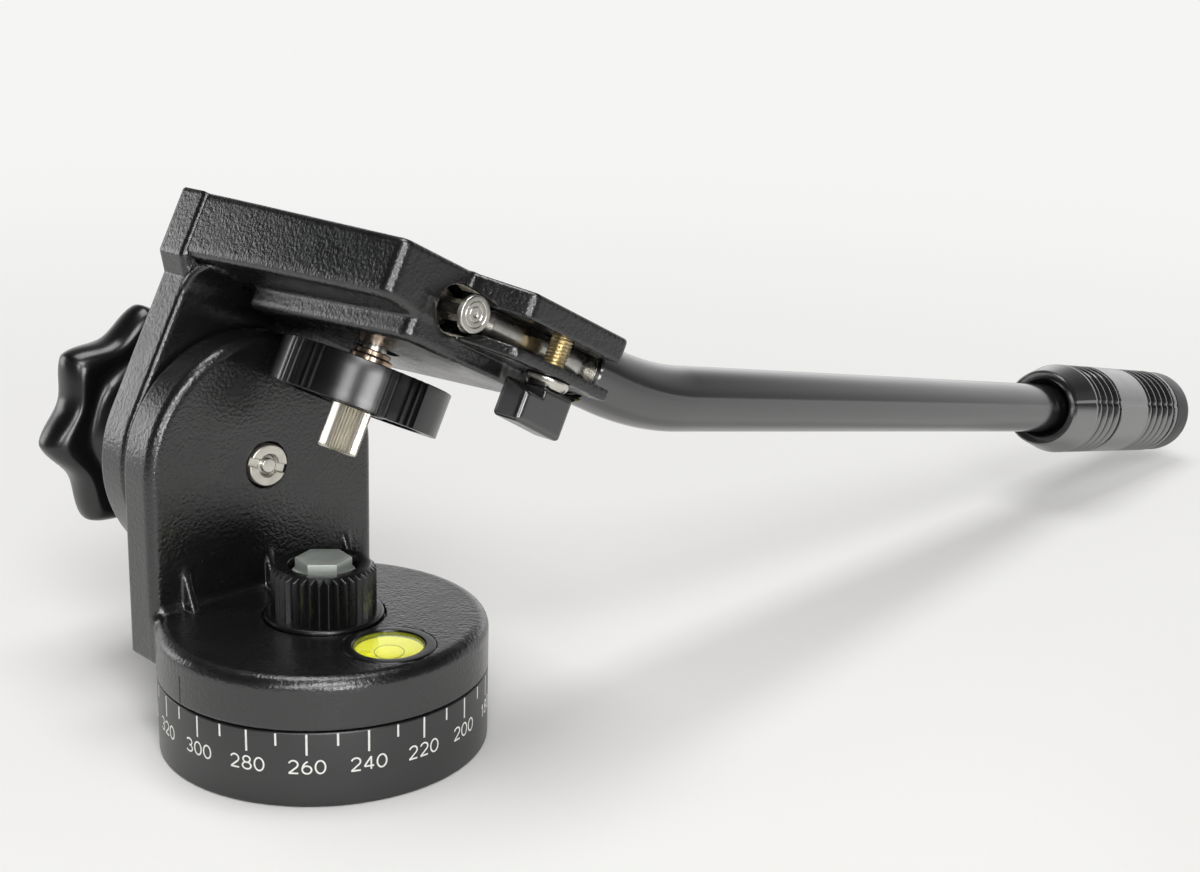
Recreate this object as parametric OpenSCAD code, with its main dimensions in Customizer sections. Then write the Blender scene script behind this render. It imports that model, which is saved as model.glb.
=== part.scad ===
// Fluid video head: a dial base, a pan body with one upright plate, a tilting camera platform on an
// outer arm, and a bent pan handle in a split clamp.
// The head stands on its dial base with the handle's grip down on the table. +Z is up, +X points
// towards the handle, the pan axis is Z and the tilt axis runs along Y. Sizes are millimetres.

/* [Dial base] */
// Diameter of the dial base and of the disc that turns on it
base_d = 75; // [72:1:84]
// Height of the dial base
base_h = 17.2; // [16:0.2:22]
// Chamfer round the base's bottom edge
base_chamfer = 0.6; // [0.2:0.1:1.5]
// Major diameter of the tripod thread
tripod_thread_d = 9.525; // [6.35:0.025:10]
// Outer diameter of the steel tripod bush
tripod_bush_d = 16; // [13:0.5:20]
// Height of the tripod bush
tripod_bush_h = 10.6; // [8:0.2:12]
// Outer diameter of the thrust washer under the pan body
thrust_d = 70; // [66:0.5:71]
// Bore of the thrust washer
thrust_bore_d = 56; // [55:0.5:60]
// Thickness of the thrust washer
thrust_t = 1; // [0.9:0.1:2]
// Depth of the thrust washer's seat in the base
thrust_sunk = 0.8; // [0.4:0.1:0.8]

/* [Pan body] */
// Height of the turning disc
disc_h = 11.75; // [11:0.25:16]
// Rounding of the disc's top rim
disc_fillet = 3; // [1:0.5:4]
// Distance from the pan axis to the upright plate's inner face
plate_inner_y = 22.2; // [21.5:0.1:24]
// Thickness of the upright plate
plate_t = 11.5; // [10:0.5:14]
// Width of the upright plate
plate_w = 61; // [57:0.5:61]
// Rounding of the plate's inner edges
plate_fillet = 2.6; // [1:0.2:4]
// Height of the tilt axis above the table
tilt_axis_z = 59.3; // [59.3:0.1:66]
// Height of the small gussets between plate and disc
gusset_h = 8.8; // [5:0.2:12]
// Reach of a gusset along the disc
gusset_depth = 4; // [3:0.5:7]
// Thickness of a gusset
gusset_t = 2.6; // [2:0.2:4]
// Spacing of the gussets
gusset_pitch = 22; // [18:1:24]
// Width of the index line on the disc's side
index_w = 0.6; // [0.4:0.1:1.2]
// Height of the index line
index_h = 5.6; // [3:0.2:8]
// Depth of the index line
index_depth = 0.5; // [0.3:0.1:1]

/* [Pan axle and lock knob] */
// Diameter of the pan axle
axle_d = 8; // [6:0.5:9]
// Outer diameter of the bronze pan bush
pan_bush_d = 14; // [12:0.5:17]
// Diameter of the pan drag disc in its grease chamber
pan_drag_d = 50; // [40:1:52]
// Thickness of the pan drag disc
pan_drag_t = 3; // [2:0.25:3.5]
// Diameter of the pan drag disc's hub
pan_drag_hub_d = 18; // [14:1:24]
// Gap filled with damping grease round a drag disc
grease_gap = 0.7; // [0.4:0.1:1]
// Diameter of the pan lock knob over its ribs
lock_d = 23.8; // [23:0.2:26]
// Height of the pan lock knob
lock_h = 12.9; // [10:0.1:14]
// Number of ribs round the knob
lock_ribs = 36; // [24:1:40]
// Depth of the grooves between the ribs
lock_rib_depth = 0.9; // [0.5:0.1:1.4]
// Diameter of the knob's flange
lock_flange_d = 27.2; // [26.6:0.2:30]
// Thickness of the knob's flange
lock_flange_t = 1.7; // [1:0.1:2.5]
// Depth of the ring recess that the flange turns in
lock_sunk = 0.8; // [0.4:0.1:1.2]
// Outer diameter of the knob's metal insert
lock_insert_d = 12; // [11:0.5:14]
// Diameter of the recess in the knob's top
lock_recess_d = 16.4; // [15.2:0.2:19]
// Depth of the recess in the knob's top
lock_recess_depth = 2.8; // [1.5:0.1:4]
// Width across flats of the axle's hex head
hex_af = 11.5; // [9:0.5:12]
// Height of the hex head
hex_h = 3; // [2:0.2:5]
// Turn of the hex head about the pan axis
hex_turn = 22; // [0:1:59]
// Diameter of the flange under the hex head
hex_flange_d = 14.4; // [13:0.2:14.8]
// Thickness of the flange under the hex head
hex_flange_t = 1.2; // [0.8:0.1:2]

/* [Bubble level] */
// Distance of the bubble level from the pan axis
bubble_y = 24.3; // [24.2:0.1:25]
// Diameter of the vial
bubble_d = 15.8; // [13:0.2:16]
// Width of the bezel round the vial
bezel_w = 2.4; // [1.6:0.1:2.6]
// Depth of the level's pocket
bubble_depth = 4.9; // [3:0.1:5]
// Thickness of the clear cover
lens_t = 0.7; // [0.4:0.1:1.2]
// Height of the bezel above the disc
bezel_proud = 0.15; // [0:0.05:0.6]

/* [Tilt axis] */
// Diameter of the tilt shaft in the arm
shaft_d = 12; // [11:0.5:13]
// Diameter of the tilt shaft in the plate
shaft_plate_d = 10; // [8:0.5:10.5]
// Diameter of the shaft's end stud
stud_d = 5; // [4:0.5:6]
// Length of the stud that shows past the ring nut
stud_proud = 0.4; // [0.2:0.1:1]
// Diameter of the slotted ring nut
ring_nut_d = 10; // [9:0.5:12]
// Thickness of the ring nut
ring_nut_t = 2.4; // [2:0.1:3]
// Width of the ring nut's slots
ring_slot_w = 2; // [1:0.1:2.6]
// Turn of the nut's slot from level
ring_slot_turn = 19; // [0:1:90]
// Depth of the ring nut's recess in the plate
nut_sunk = 1.5; // [1.5:0.1:3]
// Room round the ring nut in its recess
nut_room = 0.5; // [0.3:0.1:1]
// Diameter of the shaft's shoulder against the plate
shoulder_d = 16; // [14:0.5:20]
// Length of the shaft's shoulder
shoulder_t = 2.5; // [2:0.1:3]
// Diameter of the tilt drag disc
tilt_drag_d = 47; // [36:1:48]
// Thickness of the tilt drag disc
tilt_drag_t = 2.6; // [2:0.2:3]
// Gap between the plate and the arm
arm_gap = 1.1; // [0.8:0.1:1.5]
// Width of the friction washer's ring between plate and arm
friction_w = 3.4; // [2:0.2:4]
// Outer diameter of the bronze tilt bush
tilt_bush_d = 16; // [15:0.5:20]
// Outer diameter of the washers under the star knob
washer_d = 26; // [22:1:30]
// Thickness of the spring washer's sheet
spring_t = 0.8; // [0.6:0.1:1.2]
// Cone height of the spring washer
spring_cone = 0.8; // [0.4:0.1:1.2]
// Thickness of the flat pressure washer
pressure_t = 1.2; // [0.8:0.1:2]

/* [Star knob] */
// Diameter of the star knob over its lobes
star_d = 59.6; // [54:0.2:66]
// Number of lobes
star_lobes = 8; // [6:1:9]
// Thickness of the lobed rim
star_t = 11.8; // [10:0.2:16]
// Turn of the lobes about the tilt axis
star_turn = 41; // [0:1:44]
// Depth of the scallops between the lobes
scallop_depth = 5.4; // [3:0.2:7]
// Radius of a scallop
scallop_r = 11.2; // [10:0.2:15]
// Diameter of the knob's hub
star_hub_d = 30; // [26:1:36]
// Length of the hub from the washers to the lobed rim
star_hub_h = 20; // [14:0.5:24]
// Diameter of the thread on the tilt shaft's outer end
thread_d = 10; // [8:0.5:10.5]
// Length of the thread in the star knob
thread_l = 20; // [14:0.5:22]
// Outer diameter of the knob's metal insert
star_insert_d = 16; // [14:0.5:20]

/* [Tilt bracket] */
// Tilt of the platform at rest, from level
tilt_rest = 26.2; // [26:0.1:26.4]
// Radius of the arm's lower end and half of its width
arm_r = 29.8; // [29:0.2:29.8]
// Thickness of the arm
arm_t = 10.7; // [10:0.1:13]
// Height of the platform's top above the tilt axis
top_t = 53.4; // [52:0.2:58]
// How far the arm's head stands forward of the arm
head_step = 3.2; // [2:0.2:5]
// Height above the tilt axis where the step begins
step_t = 33.7; // [32:0.2:35]
// Height of the step
step_h = 4.2; // [3:0.2:5]
// Distance from the tilt axis to the platform's front corner at its free end
front_x = 28.6; // [26:0.2:32]
// Distance from the tilt axis to the platform's rear edge
back_x = 28.6; // [28:0.2:31]
// Distance from the pan axis to the platform's side face
side_y = 33.3; // [32:0.1:34]
// Height of the plate's lower front edge above the tilt axis, over the pan axis
plate_low_t = 40; // [39.4:0.1:41]
// Drop of the plate's underside from its front edge to the block below it
under_drop = 1.9; // [1:0.1:2.5]
// Rise of the underside towards the free end, in degrees
under_rise = 2.4; // [1.5:0.1:2.6]
// Distance from the tilt axis to the block's front face
block_front_x = 20; // [19:0.2:22]
// Distance from the tilt axis to the block's rear face
block_back_x = 26; // [24:0.2:27]
// Distance from the pan axis to the block's end near the arm
block_arm_y = 24; // [20:0.5:25]
// Height of the block's underside above the tilt axis, over the pan axis
block_low_t = 33.2; // [33:0.1:34]
// Radius of the fillet between arm and platform
root_fillet = 8; // [4:0.5:9]
// Length of the pad on the platform's top, along the lens axis
pad_l = 46; // [36:1:48]
// Width of the pad on the platform's top
pad_w = 58; // [40:1:60]
// Thickness of the pad
pad_t = 1.6; // [1.2:0.1:3]
// Height of the pad above the platform's top
pad_proud = 0.4; // [0.2:0.1:0.8]

/* [Camera screw] */
// Major diameter of the camera screw's thread
screw_d = 6.35; // [6:0.05:7]
// Diameter of the screw's shank below its thread
shank_d = 5.8; // [5:0.1:5.8]
// Length of the screw's thread
screw_thread_l = 5.6; // [4:0.1:5.6]
// How far the screw's tip stands above the pad at rest
screw_proud = 1.5; // [0.5:0.1:2]
// Travel of the screw towards the camera
screw_lift = 2.8; // [1:0.1:2.8]
// Diameter of the camera knob
knob_d = 39.6; // [36:0.1:40]
// Height of the camera knob's underside above the tilt axis
knob_low_t = 18.8; // [18:0.1:18.8]
// Thickness of the camera knob
knob_h = 10.4; // [7:0.1:10.4]
// Number of groups of grooves round the knob
groove_groups = 5; // [4:1:8]
// Number of grooves in a group
groove_count = 5; // [3:2:5]
// Angle between grooves
groove_step = 6.8; // [6.6:0.1:8]
// Angle of the first group's middle from the front
groove_turn = 43; // [0:1:71]
// Radius of a groove
groove_r = 0.9; // [0.4:0.05:0.9]
// Radius of a group's middle groove
groove_mid_r = 1.1; // [0.6:0.05:1.1]
// Diameter of the knurled post
post_d = 9.2; // [7:0.2:10]
// Length of the knurled post
post_h = 10.4; // [6:0.2:12]
// Diameter of the brass collar's flange
collar_d = 10; // [9.4:0.2:12]
// Diameter of the brass collar's neck
collar_neck_d = 8.4; // [8:0.1:9.2]
// Height of the brass collar
collar_h = 3.3; // [2:0.1:3.5]
// Height of the brass collar's flange
collar_flange_h = 1.9; // [1:0.1:2]
// Diameter of the captive ring on the screw
clip_d = 11.4; // [9:0.2:13]
// Thickness of the captive ring
clip_t = 0.8; // [0.6:0.1:1.2]
// Depth of the captive ring's seat below the platform's top
clip_sunk = 5; // [4.4:0.1:7]

/* [Handle clamp] */
// Distance from the pan axis to the clamp's outer face
lug_y = 46.3; // [46:0.1:50]
// Start of the clamp along the platform's side
lug_start_x = 9; // [8:0.2:12]
// Corner of the clamp's outer face, from the tilt axis
lug_corner_x = 1.8; // [0:0.2:4]
// Height of the lower jaw's underside above the tilt axis
jaw_low_t = 38.7; // [38.4:0.1:39]
// Height of the clamp's slot
slot_h = 6.4; // [5:0.1:7]
// Distance from the pan axis to the handle's spigot
clamp_y = 33; // [32:0.1:34]
// Height of the spigot's axis above the tilt axis
clamp_t = 44.6; // [44.4:0.1:45.4]
// Diameter of the handle's spigot
spigot_d = 9; // [8:0.1:9.4]
// Diameter of the cross pin at the spigot's end
pin_d = 8; // [6:0.2:8.4]
// Length of the cross pin
pin_l = 13; // [10:0.5:13]
// Distance from the tilt axis to the cross pin
pin_x = 9.8; // [8:0.2:11]
// Room round the cross pin for the handle's turn
pin_room = 1.4; // [1.4:0.1:1.6]
// Diameter of the tenon that holds the cross pin
tenon_d = 4; // [3:0.2:5]
// Distance from the tilt axis to the pinch screw, along the clamp
pinch_x = 13.6; // [12:0.2:16]
// Distance from the pan axis to the pinch screw
pinch_y = 41.7; // [41.5:0.1:42]
// Diameter of the pinch screw
pinch_d = 5; // [4:0.1:6.2]
// Solid metal left above the pinch screw
pinch_roof = 0.9; // [0.6:0.1:2]
// Diameter of the bright washer under the clamp
pinch_washer_d = 10; // [8:0.5:12]
// Thickness of the bright washer
pinch_washer_t = 2.2; // [1:0.1:2.4]
// Length of the wing along the clamp
wing_l = 14.4; // [12:0.2:16]
// Width of the wing
wing_w = 8.3; // [8:0.1:10]
// Height of the wing at its far end
wing_h = 9.8; // [8:0.2:12]
// Rise of the wing's underside towards its near end
wing_rise = 0.8; // [0:0.2:3]
// Shift of the wing along the clamp from the pinch screw
wing_shift = 1.3; // [0:0.1:2]
// Depth of the pinch screw in the wing
pinch_grip = 5; // [3:0.5:6]

/* [Handle] */
// Outer diameter of the handle's tube
tube_d = 16; // [15:0.5:18]
// Wall of the handle's tube
tube_wall = 1.6; // [1:0.1:2]
// Straight length of tube before the bend
lead_l = 8.4; // [6:0.2:12]
// Radius of the bend at the tube's axis
bend_r = 100; // [80:1:120]
// Angle of the bend
bend_angle = 16.4; // [16:0.1:18]
// Turn of the bend about the spigot, from straight up
handle_roll = 19; // [10:1:24]
// Length of straight tube from the bend to the grip
tube_l = 207; // [180:1:240]
// Length of the grip without its end cap
grip_l = 88; // [70:1:100]
// Length of the end cap
cap_l = 16; // [12:0.5:20]
// Diameter of the grip
grip_d = 30.2; // [27:0.2:31]
// Diameter of the grip's front face
grip_front_d = 25; // [22:0.5:26]
// Length of the taper behind the grip's front face
grip_taper = 8; // [4:0.5:10]
// Depth of the funnel in the grip's front face
funnel_depth = 5; // [2:0.5:7]
// Width of the flat ring round the funnel
funnel_rim = 1.2; // [0.6:0.1:2]
// Number of grooves in the front and rear bands of the grip
grip_grooves = [4, 6];
// Distance from the grip's front face to the first groove of each band
grip_bands = [15, 60];
// Spacing of the grooves in each band
grip_pitch = [5.2, 4.6];
// Radius of a groove's section
grip_groove_r = 1.2; // [0.6:0.1:1.6]
// Diameter of the end cap
cap_d = 29.6; // [25:0.2:30]
// Rounding of the end cap
cap_round = 6; // [3:0.5:7]
// Length of the end cap's plug in the tube
cap_plug_l = 8; // [5:0.5:12]

/* [Fits] */
// Radial gap of pieces that are pressed or screwed together
fit_gap = 0.04; // [0.02:0.01:0.08]
// Radial gap of pieces that turn or slide on each other
run_gap = 0.05; // [0.03:0.01:0.09]
// Gap between flat faces that turn on each other
face_gap = 0.05; // [0.02:0.01:0.1]
// Gap between faces that pass each other freely
free_gap = 0.4; // [0.3:0.1:0.6]

/* [Hidden] */
$fn = 96;
eps = 0.5;
base_r = base_d / 2;

// Heights on the pan axis
thrust_z = base_h - thrust_sunk;
pan_z = thrust_z + thrust_t + face_gap;
disc_z = pan_z + disc_h;
chamber_z = base_h + grease_gap + pan_drag_t + grease_gap;
chamber_r = pan_drag_d / 2 + grease_gap;
lock_seat_z = disc_z - lock_sunk;
lock_z = lock_seat_z + face_gap;
lock_top_z = lock_z + lock_h;
hex_flange_z = lock_top_z - lock_recess_depth + face_gap;
hex_z = hex_flange_z + hex_flange_t;
bolt_low_z = tripod_bush_h + free_gap;
bubble_z = disc_z - bubble_depth;
bezel_d = bubble_d + 2 * bezel_w;
lens_z = disc_z - lens_t;

// Places along the tilt axis
plate_outer_y = plate_inner_y + plate_t;
nut_seat_y = plate_inner_y + nut_sunk;
nut_y = nut_seat_y - ring_nut_t;
stud_y = nut_y - stud_proud;
arm_y = plate_outer_y + arm_gap;
arm_outer_y = arm_y + arm_t;
drag_y = plate_outer_y + shoulder_t;
arm_chamber_y = drag_y + tilt_drag_t + grease_gap;
arm_chamber_r = tilt_drag_d / 2 + grease_gap;
spring_y = arm_outer_y + face_gap;
pressure_y = spring_y + spring_t + spring_cone + face_gap;
shaft_end_y = pressure_y + pressure_t;
star_y = shaft_end_y + face_gap;
thread_end_y = shaft_end_y + thread_l;
star_r = star_d / 2;
star_end = star_hub_h + star_t;

// Places in the tilted frame, whose X runs along the platform and Z stands on it
pad_seat_t = top_t + pad_proud - pad_t;
clip_seat_t = top_t - clip_sunk;
knob_top_t = knob_low_t + knob_h;
collar_t = knob_top_t + face_gap;
collar_room_t = collar_t + collar_h + screw_lift + free_gap;
screw_tip_t = top_t + pad_proud + screw_proud;
slot_low_t = clamp_t - slot_h / 2;
pinch_top_t = top_t - pinch_roof - free_gap;
pinch_washer_low_t = jaw_low_t - face_gap - pinch_washer_t;
wing_top_t = pinch_washer_low_t - face_gap;
wing_reach = norm([wing_l / 2 + wing_shift, wing_w / 2]);
pin_hole_d = pin_d + 2 * pin_room;

// The handle's own frame: X along the spigot, Z towards the bend
tube_x = back_x + free_gap;
bend_x = tube_x + lead_l;
tube_bore_d = tube_d - 2 * tube_wall;
band_l = 0.4;
band_skin = 0.01;
bend_end = [bend_x + bend_r * sin(bend_angle), bend_r * (1 - cos(bend_angle))];

// A flat ring standing on Z = 0
module ring(d_out, d_in, h) {
    difference() {
        cylinder(d = d_out, h = h);
        translate([0, 0, -eps]) cylinder(d = d_in, h = h + 2 * eps);
    }
}

// Children's Z runs along the tilt axis from a distance y off the pan axis
module on_tilt_axis(y) {
    translate([0, y, tilt_axis_z]) rotate([-90, 0, 0]) children();
}

// Children in the platform's frame, tilted about the tilt axis
module tilted() {
    translate([0, 0, tilt_axis_z]) rotate([0, tilt_rest, 0]) children();
}

// Children's X runs along the handle's spigot
module on_spigot() {
    tilted() translate([0, -clamp_y, clamp_t]) children();
}

// Children's Z runs along the handle from the end of the bend
module on_handle() {
    on_spigot() rotate([-handle_roll, 0, 0])
        translate([bend_end[0], 0, bend_end[1]]) rotate([0, 90 - bend_angle, 0]) children();
}

// An outline drawn in Y and Z, carried along X from x for a length l
module along_x(x, l) {
    translate([x, 0, 0]) rotate([90, 0, 90]) linear_extrude(l) children();
}

// An outline drawn in X and Z, carried along Y from y for a length l
module along_y(y, l) {
    translate([0, y + l, 0]) rotate([90, 0, 0]) linear_extrude(l) children();
}

module dial_base() {
    color("#1d1d1f") difference() {
        rotate_extrude() polygon([[0, 0], [base_r - base_chamfer, 0], [base_r, base_chamfer],
                                  [base_r, base_h], [0, base_h]]);
        translate([0, 0, -eps]) cylinder(d = tripod_bush_d + 2 * fit_gap, h = tripod_bush_h + eps);
        cylinder(d = axle_d + 2 * fit_gap, h = base_h + eps);
        translate([0, 0, thrust_z])
            ring(thrust_d + 2 * fit_gap, thrust_bore_d - 2 * fit_gap, thrust_sunk + eps);
    }
}

module tripod_bush() {
    color("#9fa3a6") ring(tripod_bush_d, tripod_thread_d, tripod_bush_h);
}

module pan_bolt() {
    color("#a4a8a6") union() {
        translate([0, 0, bolt_low_z]) cylinder(d = axle_d, h = hex_flange_z - bolt_low_z + hex_flange_t);
        translate([0, 0, hex_flange_z]) cylinder(d = hex_flange_d, h = hex_flange_t);
        translate([0, 0, hex_z]) rotate([0, 0, hex_turn])
            cylinder(d = hex_af / cos(30), h = hex_h, $fn = 6);
    }
}

module pan_thrust_washer() {
    color("#e8e4d8") translate([0, 0, thrust_z]) ring(thrust_d, thrust_bore_d, thrust_t);
}

module pan_drag_disc() {
    color("#8d9194") difference() {
        union() {
            translate([0, 0, base_h]) cylinder(d = pan_drag_hub_d, h = grease_gap + pan_drag_t);
            translate([0, 0, base_h + grease_gap]) cylinder(d = pan_drag_d, h = pan_drag_t);
        }
        cylinder(d = axle_d + 2 * fit_gap, h = chamber_z);
    }
}

// The turning disc, rounded at its top rim and cut flat behind the plate
module pan_disc() {
    intersection() {
        translate([0, 0, pan_z]) rotate_extrude() union() {
            square([base_r, disc_h - disc_fillet]);
            square([base_r - disc_fillet, disc_h]);
            translate([base_r - disc_fillet, disc_h - disc_fillet]) circle(disc_fillet);
        }
        translate([-base_d, plate_outer_y - 2 * base_d, 0]) cube([2 * base_d, 2 * base_d, disc_z + eps]);
    }
}

// The upright plate with its arched top and rounded inner edges
module upright() {
    half_w = plate_w / 2;
    translate([0, plate_inner_y, pan_z]) linear_extrude(tilt_axis_z - pan_z) union() {
        translate([-half_w, plate_fillet]) square([plate_w, plate_t - plate_fillet]);
        translate([plate_fillet - half_w, 0]) square([plate_w - 2 * plate_fillet, plate_t]);
        for (side = [-1, 1])
            translate([side * (half_w - plate_fillet), plate_fillet]) circle(plate_fillet);
    }
    translate([0, plate_outer_y, tilt_axis_z]) rotate([90, 0, 0]) rotate_extrude(angle = 180) union() {
        square([half_w, plate_t - plate_fillet]);
        square([half_w - plate_fillet, plate_t]);
        translate([half_w - plate_fillet, plate_t - plate_fillet]) circle(plate_fillet);
    }
}

module gusset() {
    along_x(-gusset_t / 2, gusset_t)
        polygon([[plate_inner_y + eps, disc_z - eps], [plate_inner_y - gusset_depth, disc_z - eps],
                 [plate_inner_y - gusset_depth, disc_z], [plate_inner_y, disc_z + gusset_h],
                 [plate_inner_y + eps, disc_z + gusset_h]]);
}

module pan_body() {
    color("#2a2a2c") difference() {
        union() {
            pan_disc();
            upright();
            for (place = [-1, 0, 1]) translate([place * gusset_pitch, 0, 0]) gusset();
        }
        translate([0, 0, pan_z - eps]) cylinder(r = chamber_r, h = chamber_z - pan_z + eps);
        cylinder(d = pan_bush_d + 2 * fit_gap, h = disc_z + eps);
        translate([0, 0, lock_seat_z]) cylinder(d = lock_flange_d + 2 * free_gap, h = lock_sunk + eps);
        translate([0, -bubble_y, bubble_z]) cylinder(d = bezel_d + 2 * fit_gap, h = bubble_depth + eps);
        on_tilt_axis(0) cylinder(d = shaft_plate_d + 2 * fit_gap, h = plate_outer_y + eps);
        on_tilt_axis(plate_inner_y - eps) cylinder(d = ring_nut_d + 2 * nut_room, h = nut_sunk + eps);
        translate([-base_r - eps, -index_w / 2, pan_z - eps])
            cube([eps + index_depth, index_w, index_h + eps]);
    }
}

module pan_bush() {
    color("#a9803f") translate([0, 0, chamber_z])
        ring(pan_bush_d, axle_d + 2 * run_gap, lock_seat_z - chamber_z);
}

module bubble_bezel() {
    color("#161617") translate([0, -bubble_y, bubble_z])
        ring(bezel_d, bubble_d + 2 * fit_gap, bubble_depth + bezel_proud);
}

module bubble_vial() {
    color("#dff01e") translate([0, -bubble_y, bubble_z]) cylinder(d = bubble_d, h = lens_z - bubble_z);
}

module bubble_lens() {
    color("#eef6c8", 0.4) translate([0, -bubble_y, lens_z]) cylinder(d = bubble_d, h = lens_t);
}

// Outline of the ribbed knob: crests and grooves in turn
module lock_outline() {
    polygon([for (i = [0 : 2 * lock_ribs - 1])
        let (r = lock_d / 2 - (i % 2) * lock_rib_depth, a = i * 180 / lock_ribs) [r * cos(a), r * sin(a)]]);
}

module pan_lock_knob() {
    color("#151516") difference() {
        union() {
            translate([0, 0, lock_z]) cylinder(d = lock_flange_d, h = lock_flange_t);
            translate([0, 0, lock_z]) linear_extrude(lock_h) lock_outline();
        }
        translate([0, 0, lock_z - eps]) cylinder(d = lock_insert_d + 2 * fit_gap, h = lock_h + 2 * eps);
        translate([0, 0, lock_top_z - lock_recess_depth]) cylinder(d = lock_recess_d, h = lock_h);
    }
}

module pan_lock_insert() {
    color("#b08d3c") translate([0, 0, lock_z])
        ring(lock_insert_d, axle_d + 2 * run_gap, lock_h - lock_recess_depth);
}

module tilt_shaft() {
    color("#c3c6c8") on_tilt_axis(0) rotate_extrude() polygon([
        [0, stud_y], [stud_d / 2, stud_y], [stud_d / 2, nut_seat_y],
        [shaft_plate_d / 2, nut_seat_y], [shaft_plate_d / 2, plate_outer_y],
        [shoulder_d / 2, plate_outer_y], [shoulder_d / 2, drag_y],
        [shaft_d / 2, drag_y], [shaft_d / 2, shaft_end_y],
        [thread_d / 2, shaft_end_y], [thread_d / 2, thread_end_y], [0, thread_end_y]]);
}

module tilt_ring_nut() {
    color("#c9c6bb") on_tilt_axis(nut_y) difference() {
        ring(ring_nut_d, stud_d + 2 * fit_gap, ring_nut_t);
        rotate([0, 0, ring_slot_turn]) translate([-ring_nut_d, -ring_slot_w / 2, -eps])
            cube([2 * ring_nut_d, ring_slot_w, ring_nut_t / 2 + eps]);
    }
}

module tilt_friction_washer() {
    color("#3a3a3c") on_tilt_axis(plate_outer_y)
        ring(2 * (arm_chamber_r + grease_gap + friction_w), 2 * (arm_chamber_r + grease_gap), arm_gap - face_gap);
}

module tilt_drag_disc() {
    color("#8d9194") on_tilt_axis(drag_y) ring(tilt_drag_d, shaft_d + 2 * fit_gap, tilt_drag_t);
}

module tilt_spring_washer() {
    inner_r = shaft_d / 2 + fit_gap;
    color("#6d7072") on_tilt_axis(spring_y) rotate_extrude() polygon([
        [inner_r, spring_cone], [washer_d / 2, 0], [washer_d / 2, spring_t], [inner_r, spring_cone + spring_t]]);
}

module tilt_pressure_washer() {
    color("#b5b8ba") on_tilt_axis(pressure_y) ring(washer_d, shaft_d + 2 * fit_gap, pressure_t);
}

module star_knob() {
    rim_r = star_t / 2;
    color("#121213") on_tilt_axis(star_y) difference() {
        rotate_extrude() union() {
            square([star_hub_d / 2, star_end]);
            translate([0, star_hub_h]) square([star_r - rim_r, star_t]);
            translate([star_r - rim_r, star_hub_h + rim_r]) circle(rim_r);
        }
        for (i = [0 : star_lobes - 1]) rotate([0, 0, star_turn + (i + 0.5) * 360 / star_lobes])
            translate([star_r - scallop_depth + scallop_r, 0, star_hub_h - eps])
                cylinder(r = scallop_r, h = star_t + 2 * eps);
        translate([0, 0, -eps])
            cylinder(d = star_insert_d + 2 * fit_gap, h = thread_l + free_gap + eps);
    }
}

module star_knob_insert() {
    color("#b08d3c") on_tilt_axis(star_y)
        ring(star_insert_d, thread_d + 2 * run_gap, thread_l + free_gap);
}

// Outline of the arm in the tilted frame: round lower end, and a head that steps forward
module arm_outline() {
    circle(arm_r);
    polygon([[-arm_r, 0], [arm_r, 0], [arm_r, step_t], [back_x, step_t + step_h], [back_x, top_t],
             [-arm_r - head_step, top_t], [-arm_r - head_step, step_t + step_h], [-arm_r, step_t]]);
}

// Plan of the platform: its front edge runs from the arm's head to the free front corner
module platform_plan() {
    polygon([[-arm_r - head_step, arm_outer_y], [-arm_r - head_step, arm_outer_y - arm_t / 2],
             [-front_x, -side_y], [back_x, -side_y], [back_x, arm_outer_y]]);
}

// Plan of the clamp that stands out of the platform's side
module lug_plan() {
    polygon([[-lug_start_x, -side_y], [-lug_corner_x, -lug_y], [back_x, -lug_y], [back_x, -clamp_y + tube_d / 2],
             [-lug_start_x, -clamp_y + tube_d / 2]]);
}

// Section of the platform's underside in X and T; the plate falls away towards the block below it
module under_section() {
    far_x = 2 * arm_r;
    kink_x = block_front_x - 2 * eps;
    slope = under_drop / (arm_r + head_step - kink_x);
    polygon([[-far_x, plate_low_t + slope * (far_x - arm_r - head_step)],
             [-kink_x, plate_low_t - under_drop], [far_x, plate_low_t - under_drop],
             [far_x, 2 * top_t], [-far_x, 2 * top_t]]);
}

// The camera platform and the block under it, both rising towards the free end
module platform() {
    span = 2 * lug_y + 2 * arm_outer_y;
    intersection() {
        linear_extrude(top_t) platform_plan();
        rotate([-under_rise, 0, 0]) along_y(-span / 2, span) under_section();
    }
    intersection() {
        linear_extrude(plate_low_t) translate([-block_front_x, -side_y])
            square([block_front_x + block_back_x, side_y + block_arm_y]);
        rotate([-under_rise, 0, 0]) translate([-span / 2, -span / 2, block_low_t]) cube([span, span, top_t]);
    }
}

// Fillet between the arm's inner face and the platform's underside
module root() {
    corner_t = plate_low_t - under_drop - arm_y * tan(under_rise) + eps;
    along_x(-arm_r, arm_r + back_x) difference() {
        translate([arm_y - root_fillet, corner_t - root_fillet]) square([root_fillet + eps, root_fillet + eps]);
        translate([arm_y - root_fillet, corner_t - root_fillet]) circle(root_fillet);
    }
}

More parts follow.
